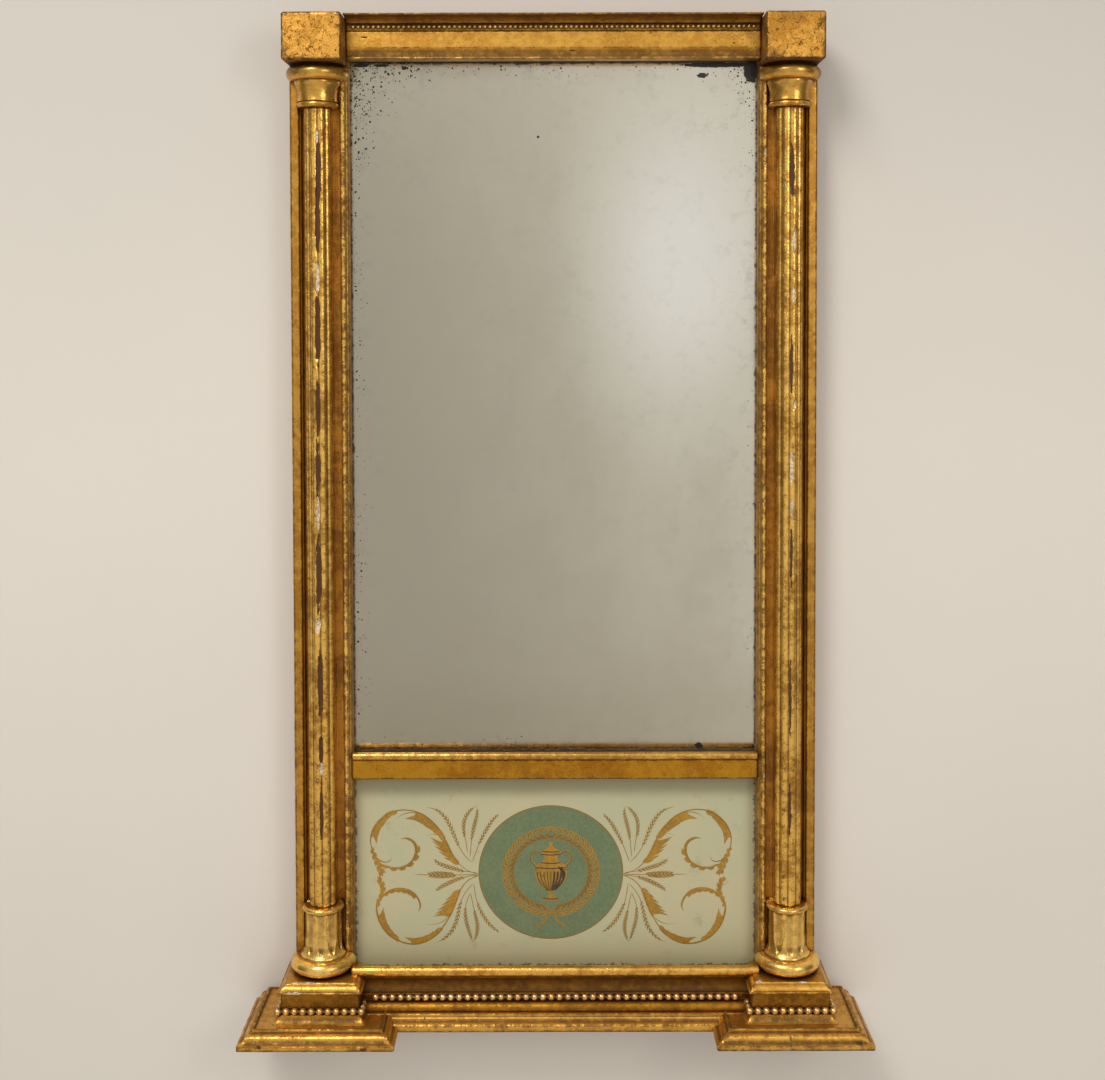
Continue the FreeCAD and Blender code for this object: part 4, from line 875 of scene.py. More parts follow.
def columnBands():
    face, front, bevel = build["face"], build["bandFace"], bands["bevel"]
    sight, frameEdge = build["halfSight"], build["halfFrame"]
    low, high = build["channelLow"], build["channelHigh"]
    outer = [(high, face), (high, front + bands["round"], quarter), (high + bands["round"], front),
             (frameEdge - bevel, front, quarter), (frameEdge, front + bevel), (frameEdge, face)]
    inner = [(sight, face), (sight, front + 3 * bevel, quarter), (sight + bevel, front + 2 * bevel),
             (sight + 2 * bevel, front + 2 * bevel), (sight + 2 * bevel, front + bevel, quarter),
             (sight + 3 * bevel, front), (low - bevel, front, quarter), (low, front + bevel), (low, face)]
    kinds = (("outer", outer, 21, {"material": "giltOuter"}),
             ("inner", inner, 25, {"material": "giltColumn", "lip": bands["lip"]}))
    for side, sign in sides:
        for kind, half, seed, settings in kinds:
            plan = [(point[0] * sign, point[1]) + tuple(bend * sign for bend in point[2:]) for point in half]
            moulding("gilt_%s_%s_band" % (side, kind), "%s_%s_band" % (side, kind), plan,
                     (bands["low"], bands["high"]), "z", seed + sign, step=0.7, along=2.8, soft=0.45,
                     chips=0.55, **settings)


columnBands()
print("bands beside the columns made")


# Shafts: reeds round the front half. Places where the gilding is gone follow as x from the
# shaft's axis, z, reach across and reach up, depth and kind.
shafts = {"low": 134.0, "high": 1053.5, "radius": 17.0, "groove": 1.7, "reeds": 5, "turned": 0.33,
          "left": [(3.0, 985, 3.0, 40, 0.7, "wood"), (1.0, 1020, 2.0, 9, 0.5, "gesso"),
                   (1.5, 925, 3.0, 40, 0.9, "wood"), (1.0, 860, 2.6, 22, 0.9, "gesso"),
                   (1.0, 800, 3.0, 46, 1.0, "wood"),
                   (0.5, 712, 2.6, 40, 0.9, "wood"), (0.1, 640, 2.8, 34, 1.1, "wood"),
                   (0.1, 590, 2.4, 20, 0.7, "gesso"), (-0.1, 520, 3.2, 46, 1.1, "wood"),
                   (-0.9, 462, 3.4, 9, 0.8, "gesso"), (0.7, 392, 2.8, 42, 1.4, "wood"),
                   (1.1, 318, 2.2, 20, 1.1, "wood"), (1.5, 296, 2.6, 8, 0.6, "gesso"),
                   (1.1, 240, 1.8, 34, 0.9, "wood")],
          "right": [(2.6, 899, 2.4, 15, 1.1, "gesso"), (2.4, 840, 2.0, 10, 0.9, "gesso"),
                    (0.5, 980, 3.0, 34, 0.6, "wood"), (4.4, 714, 2.2, 5, 0.8, "gesso"),
                    (1.2, 640, 2.4, 22, 1.1, "gesso"), (1.4, 596, 2.2, 12, 0.9, "gesso"),
                    (0.5, 760, 2.0, 42, 0.5, "wood"), (0.9, 540, 1.8, 40, 0.5, "wood"),
                    (0.1, 380, 1.6, 50, 0.5, "wood"), (0.1, 250, 1.6, 40, 0.5, "wood")]}


def columnShafts():
    core = shafts["radius"] - shafts["groove"]
    half = math.pi / shafts["reeds"] / 2
    bend = (shafts["radius"] / core - math.cos(half)) / math.sin(half)
    for side, sign in sides:
        axis = build["columnX"] * sign
        # hollows between the reeds stand a third of a reed outwards of the middle
        place = np.arange(shafts["reeds"]) + (shafts["turned"] if sign > 0 else 1 - shafts["turned"])
        place = np.concatenate([[0], place, [shafts["reeds"]]])
        turn = math.pi + 2 * half * place
        wide = np.append(np.diff(place), 1)
        plan = [(axis + core * math.cos(a), build["bandFace"] + core * math.sin(a), -bend * share)
                for a, share in zip(turn, wide)]
        plan[-1] = plan[-1][:2]
        plan += [(axis + core, build["face"]), (axis - core, build["face"])]
        gone = [(axis + x, build["bandFace"] - 16.2, z, reachX, 5.0, reachZ, depth, kind)
                for x, z, reachX, reachZ, depth, kind in shafts[side]]
        moulding("gilt_%s_shaft" % side, "%s_column_shaft" % side, plan, (shafts["low"], shafts["high"]), "z",
                 31 + sign, slot="gilt_column", step=0.62, along=2.3, soft=0.38, sway=0.10,
                 chips=0.5, hollows=gone, material="giltColumn")


columnShafts()
print("shafts made")


# Capitals and column bases: half outlines as radius and height, turned round the front. The
# play is what they keep from the channel's sides, and between the heights of the shade the
# capitals darken.
turnings = {"columns": 132, "step": 0.75, "soft": 0.5, "play": 0.1, "core": 4, "sway": 0.12,
            "chips": 0.4,
            "capital": [(4, 1053.5), (21.35, 1053.5, -1), (21.35, 1060), (24, 1060, 0.16), (26.5, 1081.5),
                        (26.5, 1084), (27.5, 1084, -1), (27.5, 1100), (27.5, 1102), (4, 1102)],
            "base": [(4, 58), (28.85, 58, -1), (28.85, 75.5), (26.5, 75.5), (26.5, 77, 0.3), (21.5, 89.5),
                     (21.5, 127.5), (21.35, 127.5, -1), (21.35, 134), (4, 134)],
            "flutes": {"count": 10, "depth": 1.6, "low": 80.0, "high": 126.0, "bow": 104.0},
            "shade": (1085.0, 1096.0)}


def fluting(line, turn, radius, proud):
    # Scooped flutes: each is deepest in its middle, with a bowed lower end and a raised rim.
    flutes = turnings["flutes"]
    tall = np.broadcast_to(line[:, 1:], radius.shape)
    width = 2 * math.pi / flutes["count"]
    offset = (turn / width) - np.floor(turn / width) - 0.5
    foot = flutes["low"] + flutes["bow"] * np.abs(offset)[None] ** 2.2
    window = ease(tall, foot - 1.2, foot + 1.6) * ease(tall, flutes["high"] + 1.5, flutes["high"])
    dish = flutes["depth"] * np.cos(offset * math.pi) ** 1.3
    ridge = 0.75 * (np.abs(offset) * 2) ** 6 - 0.15 * np.cos(offset * math.pi)
    rim = np.exp(-((tall - foot) / 1.3) ** 2) * (tall < 100)
    outside = line[:, :1] > 15
    radius = radius + np.where(outside, 0.35 * rim - window * dish, 0)
    return radius, proud + np.where(outside, 0.5 * rim + window * ridge, 0)


def turnedHalf(name, node, points, sign, seed, material, fluted):
    # Radius and height turned through the front half circle; behind the axis the sides run
    # straight back to the carcass inside the channel between the strips.
    line, out, proud = openDrawn(points, turnings["step"], turnings["soft"], turnings["core"],
                                 turnings["core"] + 1)
    count = turnings["columns"]
    turn = np.linspace(-math.pi, 0, count)
    radius = np.repeat(line[:, :1], count, axis=1)
    proud = np.repeat(proud[:, None], count, axis=1)
    if fluted:
        radius, proud = fluting(line, turn, radius, proud)
    axis = build["columnX"] * sign
    grid = np.zeros((len(line), count + 4, 3))
    grid[:, :count, 0] = axis + radius * np.cos(turn)
    grid[:, :count, 1] = build["bandFace"] + radius * np.sin(turn)
    wide = {-sign: build["columnX"] - build["channelLow"], sign: build["channelHigh"] - build["columnX"]}
    for place, (end, back) in enumerate(((1, 0), (1, 1), (-1, 1), (-1, 0))):
        grid[:, count + place, 0] = axis + np.minimum(radius[:, 0], wide[end] - turnings["play"]) * end
        grid[:, count + place, 1] = build["face"] if back else build["bandFace"] + 0.01
    grid[..., 2] = line[:, 1:]
    grid *= mm
    normal = gridNormals(grid)
    # normals are turned outwards where most of them look inwards
    away = grid[:, count // 2] / mm - np.array([axis, build["bandFace"], 0.0])
    away[:, 2] = 0
    outward = out[:, :1] * away
    outward[:, 2] += out[:, 1]
    normal = normal * np.sign(np.sum(normal[:, count // 2] * outward))
    marked = np.pad(proud, ((0, 0), (0, 4)))
    normal[:, count:] = 0
    grid, marks = worn(grid, normal, marked, seed, turnings["sway"], turnings["chips"])
    if not fluted:
        # Painted shadow of the corner block on the top of each capital, laid into the groove mark.
        shaded = ease(grid[..., 2] / mm + 3 * cloud(grid, 9, seed), *turnings["shade"])
        marks["groove"] = np.maximum(marks["groove"], 0.72 * shaded)
    finished(name, node, grid, marks, material)


def columnEnds():
    for side, sign in sides:
        turnedHalf("gilt_%s_capital" % side, "%s_capital" % side, turnings["capital"], sign, 41 + sign,
                   "giltBurnished", False)
        turnedHalf("gilt_%s_column_base" % side, "%s_column_base" % side, turnings["base"], sign, 44 + sign,
                   "giltBasePaintedLight", True)


columnEnds()
print("capitals and column bases made")


# Corner blocks
blocks = {"width": 67.0, "depth": 55.0, "low": 1102.0, "height": 53.5, "edge": 3.2, "cells": 52}


def roundedBlock(centre, half, edge, cells):
    # Six faces of a block, each a grid: a point's nearest spot in the smaller inner block,
    # moved out by the edge's radius along the way from that spot to the point.
    share = np.sin(np.linspace(-1, 1, cells + 1) * math.pi / 2)
    share = 0.45 * share + 0.55 * np.linspace(-1, 1, cells + 1)
    first, second = np.meshgrid(share, share, indexing="ij")
    points, groups = [], []
    inner = half - edge
    for axis in range(3):
        for end in (-1, 1):
            face = np.zeros(first.shape + (3,))
            face[..., axis] = end
            face[..., (axis + 1) % 3] = first * end
            face[..., (axis + 2) % 3] = second
            face = face * half
            nearest = np.clip(face, -inner, inner)
            way = face - nearest
            way = way / np.maximum(np.linalg.norm(way, axis=-1), 1e-9)[..., None]
            groups.append(gridFaces(cells + 1, cells + 1, False, sum(len(p) for p in points)))
            points.append((centre + nearest + way * edge).reshape(-1, 3))
    points = np.concatenate(points)
    whole, place = np.unique(np.round(points * 1e4).astype(np.int64), axis=0, return_inverse=True)
    place = place.ravel()
    merged = np.zeros((len(whole), 3))
    merged[place] = points
    return merged, place[np.concatenate(groups)], inner


def cornerBlocks():
    for side, sign in sides:
        half = np.array([blocks["width"], blocks["depth"], blocks["height"]]) / 2
        centre = np.array([build["columnX"] * sign, build["face"] - half[1], blocks["low"] + half[2]])
        points, faces, inner = roundedBlock(centre, half, blocks["edge"], blocks["cells"])
        local = points - centre
        nearest = np.clip(local, -inner, inner)
        out = local - nearest
        out = out / np.maximum(np.linalg.norm(out, axis=-1), 1e-9)[:, None]
        sharing = np.sort(np.abs(out), axis=-1)[:, 1]
        depth = np.min(np.where(np.abs(out) > 0.7, 1e9, half - np.abs(local)), axis=-1)
        proud = 0.75 * sharing + 0.35 * np.exp(-depth / 2.0)
        grid, marks = worn(points * mm, out, proud, 51 + sign, 0.2, 0.6)
        handled = np.exp(-depth / 5.0) + 0.5 * cloud(grid, 9, 53 + sign) + 0.3 * cloud(grid, 3, 54)
        # Painted shade on the faces turned towards the middle and downwards, laid into the groove mark; the
        # handled edges get dirt.
        shaded = np.maximum(ease(-out[:, 0] * sign, 0.3, 0.9), ease(-out[:, 2], 0.3, 0.9))
        marks["groove"] = np.clip(np.maximum(0.8 * ease(handled, 0.50, 0.95), 0.72 * shaded), 0, 1)
        if sign > 0:
            dull = ease(cloud(grid, 24, 57) + 0.4 * cloud(grid, 6, 58), -0.5, 0.4)
            marks["groove"] = np.maximum(marks["groove"], 0.55 * dull)
        piece = meshFrom("gilt_%s_corner_block" % side, grid, [faces], marks, materials["giltBlock"])
        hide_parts("%s_corner_block" % side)


cornerBlocks()
print("corner blocks made")


# Plinth layers: inset from the widest line and height, with bends; half width and front
# are those of the widest line, and the inside is how far in the hidden stretch lies
plinth = {"foot": {"half": 88.0, "front": 80.0, "inside": 44.0, "soft": 0.6, "material": "gilding",
                   "rows": [(0, 0), (0, 6, quarter), (6.25, 10, -quarter), (12.5, 14), (14, 14), (14, 18),
                            (17, 18), (17, 16)]},
          "ovolo": {"half": 53.5, "front": 53.5, "inside": 16.0, "soft": 0.5, "material": "gilding",
                    "rows": [(0, 16, quarter), (6, 24.5)]},
          "die": {"half": 44.6, "front": 44.6, "inside": 8.0, "soft": 0.5, "material": "giltRecessPaintedShade",
                  "rows": [(0, 24.5), (0, 48)]},
          "cap": {"half": 48.0, "front": 48.0, "inside": 14.0, "soft": 0.45, "material": "gilding",
                  "rows": [(0, 48), (0, 50), (2, 50, -0.3), (8, 56.5), (8, 58)]}}
# Mesh steps of the plinths, the softness of their corners in plan and the reach of the mean
# line that shows which corners stand proud
plinthMesh = {"step": 0.75, "cell": 1.9, "corner": 1.3, "mean": 4.0}
plinthChips = {"left": {"cap": [(-297.1, -79, 49.6, 11, 4, 1.4, 0.7, "gesso"),
                                (-294, -71, 58.3, 5, 3, 1.0, 0.5, "gesso"),
                                (-281, -71, 58, 8, 2.5, 0.9, 0.4, "gesso")],
                        "foot": [(-330, -110, 5, 4, 6, 1.5, 0.3, "wood"),
                                 (-214, -109, 3, 4, 6, 1.5, 0.3, "wood")]},
               "right": {"cap": [(232, -70, 58, 4.5, 5, 1.6, 0.7, "gesso"),
                                 (281, -72, 57.5, 7, 3, 1.0, 0.4, "gesso")],
                         "foot": [(262, -108, 9, 1.6, 8, 6, 0.9, "groove"),
                                  (338, -106, 7, 5, 6, 1.6, 0.3, "wood")]}}


def plinthLayer(side, sign, layer, seed):
    # Rows are the outline's heights; each row runs round the plan: out along one return,
    # across the front, back along the other, and behind along the carcass.
    row = plinth[layer]
    corners = [(-inset, tall) + tuple(rest) for inset, tall, *rest in row["rows"]]
    base = [(-row["inside"], corners[0][1])] + corners + [(-row["inside"], corners[-1][1])]
    line, out, proud = openDrawn(base, plinthMesh["step"], row["soft"], -row["inside"], 1.5 - row["inside"])
    half = row["half"] + line[:, 0]
    front = row["front"] + line[:, 0]
    axis = build["plinthX"]
    stile = build["halfFrame"] - axis
    face, bandFace = build["face"], build["bandFace"]
    ends = [(half, 0 * half), (half, bandFace - front), (-half, bandFace - front), (-half, 0 * half + face),
            (0 * half + stile, 0 * half + face), (0 * half + stile, 0 * half)]
    lengths = (row["front"] - bandFace, 2 * row["half"], row["front"] + face - bandFace, row["half"] + stile,
               -face, max(2.0, row["half"] - stile))
    cells = [max(2, int(length / plinthMesh["cell"])) for length in lengths]
    plan = []
    for number, count in enumerate(cells):
        share = np.arange(count) / count
        start, end = ends[number], ends[(number + 1) % len(ends)]
        plan.append(np.stack([a[:, None] + (b - a)[:, None] * share for a, b in zip(start, end)], axis=-1))
    plan = np.concatenate(plan, axis=1)
    plan = soften(plan, plinthMesh["corner"])
    way = np.roll(plan, -1, axis=1) - np.roll(plan, 1, axis=1)
    aside = np.stack([way[..., 1], -way[..., 0]], axis=-1)
    aside = aside / np.maximum(np.linalg.norm(aside, axis=-1), 1e-9)[..., None]
    middle = len(line) // 2
    if np.sum(aside[middle] * (plan[middle] - plan[middle].mean(axis=0))) < 0:
        aside = -aside
    bent = soften(plan, plinthMesh["mean"])
    turned = np.sum((plan - bent) * aside, axis=-1)
    grid = np.zeros(plan.shape[:2] + (3,))
    grid[..., 0] = (plan[..., 0] + axis) * sign
    grid[..., 1] = plan[..., 1]
    grid[..., 2] = line[:, 1:]
    normal = np.zeros_like(grid)
    normal[..., 0] = aside[..., 0] * out[:, :1] * sign
    normal[..., 1] = aside[..., 1] * out[:, :1]
    normal[..., 2] = out[:, 1:]
    fixed = grid[..., 1] > face - 0.5
    normal[fixed] = 0
    proudness = proud[:, None] + 0.4 * np.clip(turned, 0, 2) * (np.abs(out[:, :1]) > 0.25)
    grid, marks = worn(grid * mm, normal, proudness, seed, 0.16, 0.5, plinthChips[side].get(layer, ()))
    darkenLowEdge(grid, marks)
    finished("gilt_%s_plinth_%s" % (side, layer), "%s_plinth_%s" % (side, layer), grid, marks,
             row["material"])


def plinths():
    for side, sign in sides:
        for number, layer in enumerate(plinth):
            plinthLayer(side, sign, layer, 61 + sign * 5 + number)


plinths()
print("plinths made")


# Beads on their strings: radius, pitch and string share as on the carved lengths
beads = {"frieze": {"radius": 2.3, "pitch": 5.77, "count": 80, "y": -38.0, "z": 1145.0167},
         "rail": {"radius": 4.25, "pitch": 9.65, "y": -46.0, "z": 30.25},
         "plinth": {"radius": 4.3, "pitch": 9.8, "z": 28.8, "half": 44.6},
         "turns": 9, "seat": 0.35, "string": 0.3}


def beadRow(start, direction, count, pitch, radius, seed):
    # One string as a turned surface: the radius is a half circle at each bead and a thin
    # neck between, with every bead a little off in size, place and roundness.
    tilt = np.radians([-74, -48, -18, 18, 48, 74])
    along = (np.arange(count)[:, None] * pitch + radius * np.sin(tilt)).ravel()
    size = np.tile(np.cos(tilt), count) * radius
    which = np.repeat(np.arange(count), len(tilt))
    cells = np.stack([which, which * 0, which * 0 + seed], axis=-1)
    size = size * (0.93 + 0.10 * scatter(cells, seed + 1))
    size = np.maximum(size, radius * beads["string"])
    turn = np.arange(beads["turns"]) / beads["turns"] * 2 * math.pi + 0.2
    direction = np.asarray(direction, float)
    beside = np.array([-direction[1], direction[0], 0.0])
    upward = np.array([0.0, 0.0, 1.0])
    lift = 0.05 * radius * (scatter(cells, seed + 2) - 0.5)[:, None]
    middle = np.asarray(start, float) + along[:, None] * direction + lift * upward
    grid = middle[:, None] + size[:, None, None] * (np.cos(turn)[None, :, None] * beside
                                                     + np.sin(turn)[None, :, None] * upward)
    rub = np.repeat(np.clip(size / radius * 1.25 - 0.45, 0, 1)[:, None], beads["turns"], axis=1)
    return grid, rub


def beadMesh(name, node, strings, seed):
    points, groups, rubs, first = [], [], [], 0
    for number, row in enumerate(strings):
        grid, rub = beadRow(*row, seed + 10 * number)
        shape = grid.shape[:2]
        groups.append((gridFaces(*shape, True, first), closeEnds(*shape, first)))
        points.append(grid.reshape(-1, 3))
        rubs.append(rub.ravel())
        first += shape[0] * shape[1]
    points = np.concatenate(points) * mm
    rub = np.concatenate(rubs)
    quads = np.concatenate([group[0] for group in groups])
    ends = np.concatenate([end for group in groups for end in group[1]])
    missing = ease(cloud(points, 26, seed + 5), 0.62, 0.85) * 0.35
    # The necks between the beads get the groove mark: painted shade and dirt between them.
    marks = {"rub": rub * 0.5, "groove": np.clip(1.15 - 1.5 * rub, 0, 1), "loss": missing * rub, "bare": 0.0}
    piece = meshFrom(name, points, [quads, ends], marks, materials["giltBeadsPaintedHighlight"])
    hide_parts(node)


def beadStrings():
    row = beads["frieze"]
    lift = 1 - beads["seat"]
    beadMesh("friezeBeadString", "frieze_beads",
             [((-row["pitch"] * (row["count"] - 1) / 2, row["y"] - row["radius"] * lift, row["z"]), (1, 0, 0),
               row["count"], row["pitch"], row["radius"])], 71)
    row = beads["rail"]
    reach = build["plinthX"] - beads["plinth"]["half"] - 2 * beads["plinth"]["radius"]
    count = int(2 * (reach - row["radius"]) / row["pitch"]) + 1
    beadMesh("railBeadString", "base_rail_beads",
             [((-row["pitch"] * (count - 1) / 2, row["y"] - row["radius"] * lift, row["z"]), (1, 0, 0), count,
               row["pitch"], row["radius"])], 72)
    row = beads["plinth"]
    half = row["half"] + row["radius"] * lift
    count = int(round(2 * half / row["pitch"])) + 1
    pitch = 2 * half / (count - 1)
    frontY = build["bandFace"] - half
    for side, sign in sides:
        axis = build["plinthX"] * sign
        strings = [((axis - half, frontY, row["z"]), (1, 0, 0), count, pitch, row["radius"])]
        for end in (-1, 1):
            stop = 0.0 if end == sign else build["face"] - 26.0 - 2 * beads["rail"]["radius"]
            returns = int((stop - frontY - row["radius"] - pitch) / pitch) + 1
            if returns > 0:
                strings.append(((axis + half * end, frontY + pitch, row["z"]), (0, 1, 0), returns, pitch,
                                row["radius"]))
        beadMesh("%sPlinthBeadString" % side, "%s_plinth_beads" % side, strings, 80 + sign * 3)


beadStrings()
print("beads made")


# The painting on the lower glass: strokes of gold and brown lying just in front of the
# pane. Places are x and z from the medallion's centre for the left half, which is mirrored.
painting = {"centre": (-5.0, 160.7), "radii": (84.6, 79.1), "rimPoints": 160, "step": 0.45, "line": 0.7,
            # how far the layers stand in front of the glass
            "behind": 0.004, "ground": 0.02, "gold": 0.04, "dark": 0.07,
            "wreath": (50.0, 46.5), "wreathLeaves": 21}

# Stems: widest half width, where it is widest (0 to 1), and the points it runs through
stems = {"upperScroll": (0.75, 0.7, [(-85.3, -2.5), (-92.1, -0.5), (-99.9, 3.5), (-107.7, 9.9),
                                     (-114.9, 18.4), (-119.7, 28.7), (-124, 38), (-128.5, 46.6),
                                     (-136.3, 56.8), (-145.4, 65.4), (-155.8, 71.5), (-166.9, 74.2),
                                     (-178.1, 74.2), (-188.5, 71.2), (-197.7, 65.3), (-205.4, 57.4),
                                     (-210.2, 48.8), (-212.3, 40.8), (-212, 34.2), (-210, 25.6),
                                     (-206.5, 17), (-202, 11.4)]),
         "upperCurl": (1.9, 0.68, [(-203.9, 13.7), (-199.4, 9.7), (-192.8, 6.8), (-185.6, 5.5),
                                   (-178.4, 5.8), (-170.6, 8.2), (-164, 12.9), (-159.6, 20.2),
                                   (-158.3, 27.5), (-160.2, 34.1), (-164.5, 38.5), (-170.4, 40.7),
                                   (-176.7, 40)]),
         "lowerScroll": (1.3, 0.95, [(-85.3, -3.8), (-94.7, -7.8), (-101.9, -13.7), (-107.5, -21.7),
                                     (-111.2, -31), (-114.5, -40.2), (-118.5, -49.5), (-123.5, -58.8),
                                     (-129, -66.8), (-136.9, -75), (-146.1, -81.1), (-156.6, -84.7),
                                     (-167.8, -84.9), (-178.9, -81.7), (-188.7, -75.7), (-196.9, -67.3),
                                     (-202.1, -58), (-205.2, -47.4), (-205.5, -38.1), (-202.9, -30.8)]),
         "lowerCurl": (2.2, 0.4, [(-202, -33.4), (-197.6, -27.5), (-190.4, -22.6), (-182.5, -20.5),
                                  (-174.7, -20.5), (-166.8, -22.3), (-160.3, -26.5), (-155.9, -32.9),
                                  (-154.1, -40.2), (-156.4, -46.8)]),
         "hook": (0.9, 0.3, [(-207.8, 20.3), (-201.3, 14.3), (-194.8, 12.3), (-189.5, 14.3),
                             (-187.1, 19.2)]),
         "tendrilOne": (0.5, 0.3, [(-124, 38.7), (-129.8, 43), (-139, 45.7), (-148.4, 43.1)]),
         "tendrilTwo": (0.6, 0.3, [(-157.2, 71.1), (-166.3, 71.2), (-175.5, 68.3), (-181.8, 63.3)]),
         "tendrilThree": (0.5, 0.3, [(-121.8, -53.2), (-127.7, -58.8), (-138.2, -62.1), (-150, -61.4)])}

# Leaves: height of the blades left and right of the way, how many, how far they lean
# forward, half width of the rib, and the rib's points
leaves = {"a": (12.5, 0, 6, 1.15, 1.5, [(-124, 39.3), (-129.8, 48.6), (-137.6, 57.6), (-146.7, 65.8),
                                        (-155.8, 70.5), (-162.4, 71.2)]),
          "b": (15.0, 0, 6, 1.0, 1.5, [(-108.4, 10.8), (-114.2, 17.8), (-118.8, 26.1), (-123.3, 36),
                                       (-125.9, 40)]),
          "c": (0, 17, 6, 0.7, 1.5, [(-107.2, -20.3), (-110.8, -30.3), (-114.1, -39.6), (-117.8, -48.2),
                                     (-121.4, -54.8)]),
          "d": (0, 8.5, 6, 1.5, 1.5, [(-127.7, -66.1), (-135, -73.7), (-144.8, -80.4), (-155.3, -84.3),
                                      (-165.8, -85.1)]),
          "e": (0, 9.5, 6, 1.2, 1.7, [(-178.9, -82), (-188.1, -76.2), (-196.5, -67.7), (-201.7, -58),
                                      (-204.3, -50)]),
          "f": (9.5, 0, 6, 1.2, 1.6, [(-182, 73.6), (-191.2, 70.2), (-199, 64), (-205.6, 56.7),
                                      (-209.9, 48.1), (-211.6, 40.2)]),
          "g": (4.2, 4.2, 5, 0.9, 1.1, [(-211, 28.9), (-207.2, 18.3), (-203, 9), (-199.7, 1.1),
                                        (-198.1, -5.3)]),
          "h": (3.4, 3.4, 6, 0.9, 1.2, [(-204.2, -41.4), (-202.9, -33.4), (-199.6, -26.8), (-198, -20.2),
                                        (-199.5, -13.5), (-204.7, -4.6)]),
          "i": (0, 4.2, 6, 0.9, 0.8, [(-199.4, 9.7), (-185.6, 5.5), (-170.6, 8.2), (-160.5, 18.2),
                                      (-158.3, 27.5), (-161, 35)]),
          "j": (0, 4.2, 6, 0.9, 0.9, [(-197.6, -27.5), (-186, -21), (-174.7, -20.5), (-164, -24),
                                      (-156.9, -31)])}

# Sprays: thin stems whose small barbs start and end at the given shares of the way
sprays = {"a": (3.0, 9, 0.3, 0.95, [(-85.5, -1.2), (-96, 0.6), (-105.1, 1.9), (-115.6, 4.9), (-126.1, 8.1),
                                    (-133.9, 12.1), (-138.7, 16.8)]),
          "b": (4.6, 7, 0.36, 0.78, [(-85.5, -2.6), (-99.9, -2.9), (-113, -3.1), (-126.1, -3.1),
                                     (-139.2, -2.8), (-149.7, -2.8), (-160.8, -2.5)]),
          "c": (3.0, 9, 0.3, 0.95, [(-85.5, -4.1), (-93.4, -4.2), (-102.6, -6), (-113, -9.2),
                                    (-122.2, -13.7), (-130.1, -17.9), (-136.9, -23.2)]),
          "up": (2.8, 11, 0.28, 0.88, [(-93.1, 12), (-99.8, 18.1), (-106.3, 27.4), (-112.2, 40),
                                       (-117.4, 53.2), (-124.2, 65.1), (-131.6, 72.7), (-138.8, 75.9),
                                       (-146.7, 78)]),
          "upInside": (2.6, 10, 0.3, 0.92, [(-98.2, 24), (-100, 36.6), (-102.3, 48.5), (-102.3, 59.1),
                                            (-99.2, 67.7), (-93.7, 74.7), (-87.6, 79.2)]),
          "upBeside": (2.6, 10, 0.34, 0.92, [(-95.1, 18.1), (-94.3, 28.7), (-93.2, 39.3), (-91.1, 51.2),
                                             (-88.5, 61.7), (-86.5, 71), (-87.2, 79.2)]),
          "upNear": (2.6, 10, 0.34, 0.96, [(-92.7, 12), (-89.1, 22), (-83.8, 35.3), (-77.5, 47.8),
                                           (-69.3, 61), (-60.4, 70.3)]),
          "down": (2.8, 11, 0.3, 0.92, [(-91.8, -13.5), (-99.3, -22), (-104.6, -31), (-107.9, -41.6),
                                        (-110, -52.2), (-113.3, -62.8), (-118.6, -72.1), (-126.5, -79.4),
                                        (-135.3, -84.3)]),
          "downInside": (2.6, 10, 0.3, 0.92, [(-94.8, -24.4), (-99.4, -35), (-101.1, -45.6),
                                              (-100.1, -57.5), (-96.7, -70.2), (-92, -84.1)]),
          "downBeside": (2.6, 10, 0.34, 0.92, [(-94.5, -25.7), (-91.6, -40.3), (-89, -52.2), (-86.8, -62.9),
                                               (-87.6, -73.5), (-91.6, -84.1)]),
          "downNear": (2.6, 10, 0.34, 0.96, [(-91.1, -13.5), (-88.2, -31), (-83.1, -45.6), (-75.2, -58.9),
                                             (-67.4, -66.9), (-59.6, -72.5)])}


def splineThrough(points, step):
    # An even line through points: on each stretch the Catmull-Rom cubic of its four
    # neighbouring points. Gives places, unit ways and the share of the whole length.
    points = np.asarray(points, float)
    ends = np.vstack([2 * points[:1] - points[1:2], points, 2 * points[-1:] - points[-2:-1]])
    share = (np.arange(24) / 24)[None, :, None]
    a, b, c, d = (ends[k:k + len(points) - 1, None] for k in range(4))
    fine = 0.5 * (2 * b + (c - a) * share + (2 * a - 5 * b + 4 * c - d) * share ** 2
                  + (3 * b - a - 3 * c + d) * share ** 3)
    fine = np.vstack([fine.reshape(-1, points.shape[1]), points[-1:]])
    along = np.concatenate([[0], np.cumsum(np.hypot(*np.diff(fine[:, :2], axis=0).T))])
    even = np.linspace(0, along[-1], max(5, int(along[-1] / step)))
    line = np.stack([np.interp(even, along, fine[:, k]) for k in range(fine.shape[1])], axis=1)
    way = np.gradient(line[:, :2], axis=0)
    way = way / np.maximum(np.hypot(*way.T), 1e-9)[:, None]
    return line, way, even / along[-1]


def stroke(points, half, shade=0.0):
    # A flat closed stroke: five points round each place of the line. The half width is a
    # number that tapers to both ends, or is the third value of every point.
    line, way, share = splineThrough(points, painting["step"])
    if half is None:
        width = np.maximum(line[:, 2], 0.05)
    else:
        width = half * np.minimum(1, share / 0.06 + 0.25) * np.minimum(1, (1 - share) / 0.10 + 0.12)
    aside = np.stack([-way[:, 1], way[:, 0]], axis=1) * width[:, None]
    ring = np.stack([line[:, :2] + aside, line[:, :2], line[:, :2] - aside, line[:, :2] - aside,
                     line[:, :2] + aside], axis=1)
    return ring, shade


